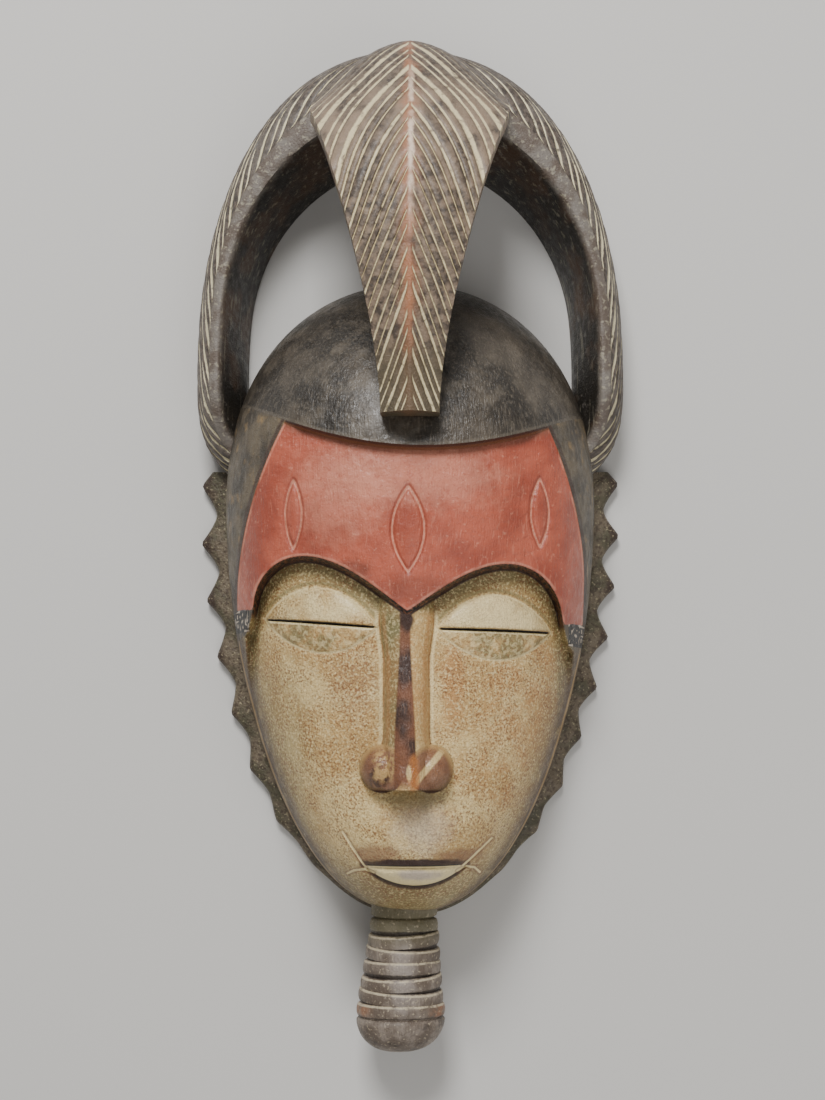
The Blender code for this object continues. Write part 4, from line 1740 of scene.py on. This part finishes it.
        # painted highlight: a pale streak on the right wing
        wing_highlight = graph.times(self.line(slant, 1.2, 0.5), graph.ease(x, 1.5, 2.5), graph.ease(wing, 1.0, 0.85))
        wing_paint_and_light = graph.cover(
            self.chestnut,
            (self.mottle(0.10, 12, 0.42, 0.62), 0.8, self.brown),
            # painted shade on the lower edges of the wings
            (graph.ease(wing, 0.7, 0.98), graph.ease(y, 64, 57), 0.8, self.dark_brown),
            (self.spot(-12, 61, 6, 7, 0.5), self.mottle(0.4, 13, 0.40, 0.55, 3), 0.8, self.dark_brown),
            (self.spot(-10, 65, 7, 8, 0.5), self.mottle(0.4, 55, 0.40, 0.56, 3), 0.8, self.cream_dark),
            # painted highlight on the right wing
            (wing_highlight, 0.8, self.cream),
            # upper edges of the wings painted lighter, as if lit from above
            (graph.ease(wing, 0.72, 1.0), graph.ease(y, 60, 67), 0.75, self.cream_dark),
        )
        wedge = graph.times(self.spot(1.2, 62, 3.2, 10, 0.55), graph.ease(x, -1.5, -0.5))
        worn = graph.times(self.grain(1.6, 12.0, 0.54, 0.66), 0.3)
        dark = graph.blend(self.mottle(0.08, 14, 0.4, 0.62), self.dark_brown, self.brown)
        return graph.cover(
            colour,
            (inside, facet),
            (self.beside(gap, 1.2, 0.7, 0.6), length, 0.7, self.cream_light),
            (self.beside(gap, 0.1, 0.3), length, self.mottle(0.1, 56, 0.3, 0.5), 0.6, self.ochre),
            # the wings' own brown paint with painted light and shade on it
            (ball, wing_paint_and_light),
            (ridge, graph.blend(worn, dark, self.chestnut)),
            (wedge, self.mottle(0.2, 59, 0.2, 0.5), 0.85, self.amber),
            (self.spot(-0.3, 62.5, 1.3, 4.2, 0.6), 0.7, self.cream),
            (self.spot(-1.2, 121.5, 3.6, 6.5, 0.5), self.dark_brown),
        )

    def mouth(self, colour: Socket) -> Socket:
        """Dark lip edges, the pale lower lip and the line scars."""
        graph, at = self.graph, self.graph.attribute
        lens = at("lens")
        lip = graph.blend(self.spot(3, 21.5, 12, 3.2), self.cream_light, self.pale_grey)
        return graph.cover(
            colour,
            (self.spot(2, 26.8, 23, 2.0, 0.5), self.dark_brown),
            (self.beside(lens, -0.8, 0.8, 0.6), 0.9, self.dark_brown),
            (graph.ease(lens, 0.0, 0.4), lip),
            (self.beside(lens, -0.1, 0.3), self.black),
            (self.beside(at("scar"), 0.8, 0.4, 0.3), 0.45, self.brown),
            (self.line(at("scar"), 0.42, 0.15), self.cream_light),
        )

    def forehead(self) -> Socket:
        """Red paint rubbed pink on its edges and darkened by handling, with painted highlights high on the
        forehead and partly along the brow's edge, and painted shade under the cap's lip.
        """
        graph, at = self.graph, self.graph.attribute
        oval, edge = at("oval"), at("edge")
        scratch = graph.times(self.grain(1.1, 9.0, 0.60, 0.68), 0.2)
        return graph.cover(
            self.red,
            (self.mottle(0.045, 20, 0.36, 0.64, 3), self.red_dark),
            # painted highlight high on the forehead
            (self.spot(2, 178, 46, 18), 0.45, self.pink),
            (self.spot(-28, 172, 26, 26), 0.35, self.pink),
            (self.spot(-22, 141, 10, 6), 0.5, self.dark_brown),
            (self.spot(4, 133, 22, 9), 0.35, self.dark_brown),
            (self.mottle(0.7, 21, 0.55, 0.66, 4), 0.35, self.red_dark),
            (self.mottle(0.5, 22, 0.62, 0.72, 3), 0.35, self.pink),
            (scratch, self.pink),
            # painted shade on the forehead under the cap's overhanging lip
            (graph.ease(at("lip"), -5, -1), 0.4, self.band),
            (graph.ease(oval, 0.8, 3.5), 0.45, self.red_dark),
            (self.beside(oval, -0.9, 0.35), 0.7, self.red_dark),
            (self.beside(oval, 0.9, 0.35), 0.5, self.red_dark),
            (self.line(oval, 0.36, 0.2, 0.3), 0.85, self.pink),
            (self.beside(edge, 0.4, 0.4, 0.3), self.mottle(0.1, 57, 0.3, 0.6), 0.6, self.pink),
            # pink line on the brow's edge: rubbed paint and partly a painted highlight
            (self.beside(at("brow"), 0.5, 0.5, 0.4), self.mottle(0.1, 58, 0.3, 0.6), 0.6, self.pink),
        )

    def dome(self) -> Socket:
        """Dark cap with a grey haze of dust and painted sheen, and a painted highlight along its lip."""
        graph, at = self.graph, self.graph.attribute
        return graph.cover(
            self.cap,
            (self.mottle(0.04, 30, 0.35, 0.6, 3), self.cap_dark),
            # grey haze on the cap: dust and painted sheen
            (self.mottle(0.11, 31, 0.45, 0.70, 4), 0.4, self.grey_haze),
            (self.grain(1.2, 9.0, 0.50, 0.68), 0.4, self.grey_haze),
            (self.mottle(0.9, 32, 0.60, 0.68, 3), 0.5, self.grey_haze),
            # painted highlight along the edge of the cap's lip
            (self.beside(at("lip"), 0.6, 0.6, 0.5), 0.4, self.grey_haze),
        )

    def temples(self) -> Socket:
        """Smoky bands beside the forehead, with the two blocks of short strokes."""
        graph, at = self.graph, self.graph.attribute
        return graph.cover(
            self.band,
            (self.mottle(0.08, 35, 0.36, 0.66, 3), 0.8, self.cap_dark),
            (self.mottle(0.14, 36, 0.54, 0.74, 4), 0.35, self.cream_dark),
            (self.grain(0.7, 12.0, 0.5, 0.64), 0.5, self.grey_haze),
            (self.beside(at("edge"), -1.1, 0.8, 0.5), 0.8, self.dark_brown),
        )

    def dress(self) -> bpy.types.Material:
        """Puts the painted areas together.

        Returns:
            The material of the whole front.
        """
        graph, at = self.graph, self.graph.attribute
        y = graph.axis(graph.sheet, "Y")
        brow, lip, panel = at("brow"), at("lip"), at("panel")
        face = self.mouth(self.nose(self.eyes(self.face())))
        # the brow's cut wall: dark paint with black painted shadow under the brow's edge
        wall = graph.blend(self.mottle(0.8, 40, 0.45, 0.6), self.black, self.brown)
        slanted = graph.math("MULTIPLY_ADD", graph.axis(graph.sheet, "X"), 0.04, y)
        over_foot = graph.ease(slanted, 120, 124)
        face = graph.cover(
            face,
            (graph.ease(brow, -2.5, -1.7), over_foot, self.dark_brown),
            # black painted shadow on the upper part of the brow's wall
            (graph.ease(brow, -1.5, -1.1), over_foot, wall),
        )
        on_cap = graph.times(graph.ease(lip, -0.1, 0.1), graph.ease(y, 160, 170))
        outside = graph.ease(at("edge"), 0.1, -0.2)
        at_temple = graph.times(outside, graph.ease(y, 92, 118))
        red = graph.ease(panel, -0.15, 0.15)
        block = graph.ease(at("block"), -0.1, 0.1)
        marks = graph.cover(
            self.black,
            (self.line(at("tick"), 0.26, 0.12, 0.0), self.pale_grey),
            (self.line(at("rule"), 0.36, 0.12, 0.0), self.pale_grey),
        )
        colour = graph.cover(
            face,
            (at_temple, 0.9, self.temples()),
            (graph.ease(brow, -0.1, 0.3), graph.ease(y, 105, 118), self.temples()),
            (red, self.forehead()),
            (block, marks),
            # painted shadow on the underside of the cap's overhanging lip
            (graph.ease(lip, -1.7, -1.1), graph.ease(y, 172, 182), red, self.brown),
            (graph.ease(lip, -0.9, -0.4), graph.ease(y, 172, 182), red, self.dark_brown),
            (on_cap, self.dome()),
        )
        # painted shade: darker in the hollows of the carving
        hollows = self.wear_and_shade(0.10, 0.42, 0.2)
        colour = graph.cover(colour, (hollows, 0.4, self.dark_brown))
        paint_side = graph.ease(panel, -0.2, 0.2)
        rough = graph.level(self.mottle(0.3, 41, 0.3, 0.7, 4), 0.42, 0.62)
        rough = graph.math("SUBTRACT", rough, graph.times(graph.math("MAXIMUM", on_cap, paint_side), 0.12))
        rough = graph.math("SUBTRACT", rough, graph.times(graph.ease(at("wing"), 1.03, 0.97), 0.18))
        pits = graph.times(self.mottle(1.3, 42, 0.48, 0.62, 4), graph.level(paint_side, 0.55, 0.15))
        streaks = graph.times(self.grain(1.4, 9.0, 0.4, 0.66), 0.3)
        swells = graph.times(self.mottle(0.22, 43, 0.3, 0.7), 0.8)
        height = graph.math("SUBTRACT", graph.math("ADD", swells, streaks), pits)
        return self.close(colour, rough, height)


class CrestFinish(Finish):
    """Brown strap with pale strokes, a warm ridge rubbed white and partly lit by a painted highlight, and a
    darker end.
    """

    ground = paint(100, 86, 72)
    ground_dark = paint(66, 55, 46)
    tan = paint(150, 128, 106)
    stroke = paint(222, 206, 164)
    warm = paint(168, 110, 74)
    # pale ridge colour: rubbed wood and partly a painted highlight
    rubbed = paint(232, 208, 184)
    shade = paint(52, 42, 34)
    end = paint(84, 74, 54)

    def dress(self) -> bpy.types.Material:
        """Lays the ground, the ridge and the strokes.

        Returns:
            The crest's material.
        """
        graph = self.graph
        x, y = graph.axis(graph.sheet, "X"), graph.axis(graph.sheet, "Y")
        ridge = self.line(graph.math("ADD", x, 0.6), 1.7, 1.2, 3.0)
        broad = self.line(graph.math("ADD", x, 0.2), 3.6, 3.2, 4.0)
        upper = graph.ease(y, 372, 352)
        worn = graph.times(graph.ease(y, 350, 325), graph.ease(y, 262, 300))
        # pale streak along the ridge: rubbed wood and partly a painted highlight
        ridge_rub_and_highlight = self.line(graph.math("SUBTRACT", x, 0.4), 1.0, 0.7, 2.4)
        ridge_rub_and_highlight = graph.times(ridge_rub_and_highlight, self.mottle(0.10, 2, 0.30, 0.5), worn)
        edges = self.wear_and_shade(-0.16, -0.5, 0.2)
        tip = graph.ease(y, 232, 216)
        strokes = self.strokes(0.11, 0.0, 0.5)
        shadow = self.strokes(0.06, 0.17, 0.5)
        colour = graph.cover(
            self.ground,
            (self.mottle(0.5, 1, 0.42, 0.6, 4), self.ground_dark),
            (self.mottle(0.07, 3, 0.4, 0.62), worn, 0.7, self.tan),
            (graph.ease(y, 330, 280), self.mottle(0.22, 4, 0.45, 0.62, 3), 0.6, self.tan),
            (broad, upper, self.mottle(0.08, 8, 0.3, 0.6), 0.5, self.warm),
            (ridge, upper, self.mottle(0.12, 9, 0.2, 0.6), 0.75, self.warm),
            (edges, graph.ease(y, 352, 320), 0.6, self.warm),
            (tip, 0.8, self.end),
            (shadow, 0.45, self.shade),
            (strokes, self.mottle(0.3, 5, 0.25, 0.45, 3), 0.95, self.stroke),
            # rubbed ridge with a painted highlight
            (ridge_rub_and_highlight, 0.9, self.rubbed),
        )
        rough = graph.level(self.mottle(0.35, 6, 0.3, 0.7, 3), 0.42, 0.62)
        grit = self.mottle(1.2, 7, 0.4, 0.64, 4)
        height = graph.math("SUBTRACT", graph.times(grit, 0.4), graph.times(strokes, 0.8))
        return self.close(colour, rough, height)


class ArchFinish(Finish):
    """Horn arch: stroked outer strip, smooth grey bevel and a dark inner side."""

    strip = paint(94, 82, 72)
    strip_dark = paint(62, 53, 46)
    stroke = paint(220, 208, 170)
    bevel = paint(118, 111, 103)
    inner = paint(42, 38, 33)
    brown = paint(92, 66, 44)
    pale = paint(170, 162, 140)
    shade = paint(44, 37, 31)

    def dress(self) -> bpy.types.Material:
        """Lays the strip, its strokes, the bevel and the inner side.

        Returns:
            The arch's material.
        """
        graph = self.graph
        y = graph.axis(graph.sheet, "Y")
        zone = graph.marks("Y")
        shake = graph.shake(0.15)
        zone_edge = graph.math("MULTIPLY_ADD", shake, 0.10, zone)
        past_strip = graph.ease(zone, 0.02, -0.02)
        past_bevel = graph.ease(zone_edge, graph.level(graph.ease(y, 250, 350), -0.08, -0.17), -0.26)
        strokes = self.strokes(0.15, 0.0, 0.25)
        shadow = self.strokes(0.08, 0.22, 0.25)
        bevel = graph.cover(
            self.bevel,
            (self.mottle(0.12, 1, 0.38, 0.62, 4), self.strip),
            (self.mottle(0.5, 2, 0.56, 0.66, 3), 0.5, self.pale),
        )
        inner = graph.cover(
            self.inner,
            (self.mottle(0.06, 3, 0.45, 0.65, 3), 0.6, self.brown),
            (self.mottle(0.3, 4, 0.60, 0.68, 3), 0.5, self.bevel),
            (self.grain(0.5, 14.0, 0.60, 0.66), 0.35, self.pale),
        )
        edges = self.wear_and_shade(-0.2, -0.6, 0.3)
        colour = graph.cover(
            self.strip,
            (self.mottle(0.45, 5, 0.40, 0.60, 4), self.strip_dark),
            (self.mottle(0.08, 6, 0.45, 0.65), 0.4, self.bevel),
            (shadow, 0.55, self.shade),
            (strokes, self.mottle(0.25, 7, 0.25, 0.42, 3), 0.95, self.stroke),
            (past_strip, bevel),
            (past_bevel, inner),
            (edges, 0.35, self.pale),
        )
        rough = graph.level(self.mottle(0.3, 8, 0.3, 0.7, 3), 0.40, 0.62)
        grit = self.mottle(1.1, 9, 0.4, 0.64, 4)
        height = graph.math("SUBTRACT", graph.times(grit, 0.4), graph.times(strokes, 0.8))
        return self.close(colour, rough, height)


class RimFinish(Finish):
    """Grey-brown rim, darkened partly as painted shade, with pale rubbed edges and painted shade on the teeth
    towards their tips.
    """

    ground = paint(106, 94, 76)
    green = paint(80, 75, 56)
    pale = paint(180, 168, 134)
    # dark brown for specks and for painted shade on the teeth
    dark_specks_and_shade = paint(54, 37, 28)

    def dress(self) -> bpy.types.Material:
        """Lays the ground, the rubbed edges and the painted shade on the tips.

        Returns:
            The rim's material.
        """
        graph = self.graph
        tip = graph.ease(graph.marks("Y"), 0.25, 0.7)
        colour = graph.cover(
            self.ground,
            (self.mottle(0.10, 1, 0.4, 0.62, 3), self.green),
            (self.mottle(0.6, 2, 0.5, 0.62, 4), 0.6, self.dark_specks_and_shade),
            # painted shade: the teeth darken towards their tips
            (tip, self.mottle(0.25, 3, 0.25, 0.5, 3), 0.9, self.dark_specks_and_shade),
            (self.wear_and_shade(-0.15, -0.5, 0.3), 0.7, self.pale),
            (self.mottle(0.9, 4, 0.60, 0.68, 3), 0.5, self.pale),
        )
        rough = graph.level(self.mottle(0.3, 5, 0.3, 0.7, 3), 0.50, 0.70)
        height = graph.times(self.mottle(0.9, 6, 0.35, 0.65, 4), 0.7)
        return self.close(colour, rough, height)


class BeardFinish(Finish):
    """Smoky brown cups with chalky ledges and a chipped round end."""

    cup = paint(134, 122, 110)
    cup_dark = paint(96, 83, 71)
    chalk = paint(194, 180, 152)
    grey_haze = paint(158, 148, 140)
    green = paint(112, 106, 76)
    groove = paint(44, 35, 29)
    rust = paint(150, 100, 64)

    def dress(self) -> bpy.types.Material:
        """Lays the cups, the ledges and the grooves under them.

        Returns:
            The beard's material.
        """
        graph = self.graph
        y = graph.axis(graph.sheet, "Y")
        ring = graph.marks("X")
        shake = graph.shake(0.5)
        within = graph.math("FRACT", graph.math("MULTIPLY_ADD", shake, 0.08, ring))
        ledge = graph.times(graph.ease(within, 0.06, 0.12), graph.ease(within, 0.27, 0.18))
        ledge = graph.times(ledge, graph.ease(ring, 0.8, 1.0), graph.ease(ring, 7.05, 6.9))
        ledge = graph.times(ledge, self.mottle(0.3, 1, 0.28, 0.5, 3))
        groove = graph.math("MAXIMUM", graph.ease(within, 0.06, 0.02), graph.ease(within, 0.90, 0.97))
        groove = graph.times(groove, graph.ease(ring, 7.1, 6.95), graph.ease(ring, 0.0, 0.02))
        streaks = self.grain(1.2, 14.0, 0.46, 0.62)
        away = graph.math("ABSOLUTE", graph.math("ADD", graph.axis(graph.sheet, "X"), 4.0))
        rust_side = graph.times(graph.ease(away, 10, 16), self.mottle(0.2, 7, 0.3, 0.55))
        colour = graph.cover(
            self.cup,
            (self.mottle(0.12, 2, 0.38, 0.62, 3), self.cup_dark),
            (streaks, 0.45, self.cup_dark),
            (self.spot(-3, -22, 7, 20), 0.55, self.grey_haze),
            (graph.ease(y, -14, -2), 0.7, self.green),
            (self.mottle(0.25, 3, 0.55, 0.65, 3), graph.ease(ring, 6.9, 7.15), 0.5, self.groove),
            (graph.ease(ring, 6.0, 6.2), graph.ease(ring, 7.1, 6.8), rust_side, 0.7, self.rust),
            (self.mottle(0.8, 4, 0.60, 0.68, 3), 0.5, self.chalk),
            (groove, 0.9, self.groove),
            (ledge, 0.95, self.chalk),
        )
        rough = graph.level(self.mottle(0.3, 5, 0.3, 0.7, 3), 0.45, 0.66)
        grit = graph.times(self.mottle(0.8, 6, 0.35, 0.65, 4), 0.5)
        height = graph.math("SUBTRACT", grit, graph.times(streaks, 0.3))
        return self.close(colour, rough, height)


class BackFinish(Finish):
    """Unpainted wood behind, with its year rings, smoke stains, tool marks and painted shade in its hollows.
    """

    wood = paint(126, 92, 60)
    rings = paint(92, 62, 38)
    stain_and_shade = paint(54, 38, 27)
    pale = paint(160, 126, 88)
    relief = 0.0005

    def dress(self) -> bpy.types.Material:
        """Lays the wood, its grain and the stains.

        Returns:
            The back's material.
        """
        graph = self.graph
        grain = self.grain(0.5, 22.0, 0.36, 0.64)
        fine = self.grain(2.2, 26.0, 0.46, 0.60)
        colour = graph.cover(
            self.wood,
            (grain, self.rings),
            (fine, 0.5, self.stain_and_shade),
            (self.mottle(0.05, 1, 0.42, 0.62, 4), 0.7, self.stain_and_shade),
            (self.wear_and_shade(-0.12, -0.4, 0.2), 0.6, self.pale),
            # painted shade: darker in the hollows
            (self.wear_and_shade(0.12, 0.4, 0.2), 0.6, self.stain_and_shade),
        )
        rough = graph.level(grain, 0.62, 0.82)
        height = graph.math("SUBTRACT", graph.times(grain, 0.6), graph.times(fine, 0.6))
        return self.close(colour, rough, height)


FINISHES: dict[Part, type[Finish]] = {
    Part.HEAD: HeadFinish,
    Part.CREST: CrestFinish,
    Part.ARCH: ArchFinish,
    Part.RIM: RimFinish,
    Part.BEARD: BeardFinish,
    Part.BACK: BackFinish,
}


@dataclass(frozen=True)
class Studio:
    """Pale floor, soft lights and the camera over the lying mask."""

    lens: float = 54.07
    sensor: float = 36.0
    eye: tuple[float, float, float] = (0.001, -0.07065, 0.728)
    tilt: float = math.radians(5.3)
    floor_size: float = 3.0

    def build(self) -> None:
        """Makes the floor, the lights and the camera."""
        mesh = bmesh.new()
        bmesh.ops.create_grid(mesh, x_segments=1, y_segments=1, size=self.floor_size / 2)
        data = bpy.data.meshes.new("floor")
        mesh.to_mesh(data)
        mesh.free()
        floor = bpy.data.objects.new("floor", data)
        bpy.context.scene.collection.objects.link(floor)
        material = bpy.data.materials.new("floor")
        material.use_nodes = True
        shader = material.node_tree.nodes["Principled BSDF"]
        shader.inputs["Base Color"].default_value = paint(206, 204, 200)
        shader.inputs["Roughness"].default_value = 0.9
        data.materials.append(material)
        self.light("key", (-0.2, 0.98, 1.18), 0.5, 25.0)
        self.light("fill", (0.5, -0.9, 1.1), 1.2, 8.0)
        world = bpy.data.worlds.new("studio")
        world.use_nodes = True
        world.node_tree.nodes["Background"].inputs["Color"].default_value = paint(242, 240, 238)
        world.node_tree.nodes["Background"].inputs["Strength"].default_value = 0.35
        bpy.context.scene.world = world
        camera = bpy.data.objects.new("camera", bpy.data.cameras.new("camera"))
        camera.data.lens = self.lens
        camera.data.sensor_width = self.sensor
        camera.location = self.eye
        camera.rotation_euler = (self.tilt, 0.0, 0.0)
        bpy.context.scene.collection.objects.link(camera)
        bpy.context.scene.camera = camera

    def light(self, name: str, place: tuple[float, float, float], size: float, power: float) -> None:
        """Adds one square soft light aimed at the mask."""
        data = bpy.data.lights.new(name, "AREA")
        data.size = size
        data.energy = power
        lamp = bpy.data.objects.new(name, data)
        lamp.location = place
        lamp.rotation_euler = (-Vector(place)).to_track_quat("-Z", "Y").to_euler()
        bpy.context.scene.collection.objects.link(lamp)


def corners(bounds: tuple[Vector, Vector]) -> list[list[float]]:
    """A box as plain lists of numbers."""
    return [[float(value) for value in corner] for corner in bounds]


def main() -> None:
    """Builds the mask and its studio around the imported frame."""
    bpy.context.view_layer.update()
    low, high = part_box("mask")
    beard_length = 0.0546
    chin = low.y + beard_length
    effects = Effects(chin)
    for area, finish in FINISHES.items():
        finish(effects, area).dress()
        LOG.info("finish of the %s", area.name.lower())
    sheet = Sheet(chin)
    arch = Arch(high.y, chin, Strokes(high.y, ARCH_PITCH))
    mask = Mask(
        Head(sheet),
        arch,
        Crest(high.y, chin, Strokes(high.y, CREST_PITCH), arch.bar_top),
        Rim(sheet),
        Beard(chin, low.y),
        Bowl(sheet),
    )
    carved = mask.build()
    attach(carved, "root")
    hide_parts("mask")
    Studio().build()


if __name__ == "__main__":
    logging.basicConfig(level=logging.INFO, format="%(message)s")
    main()
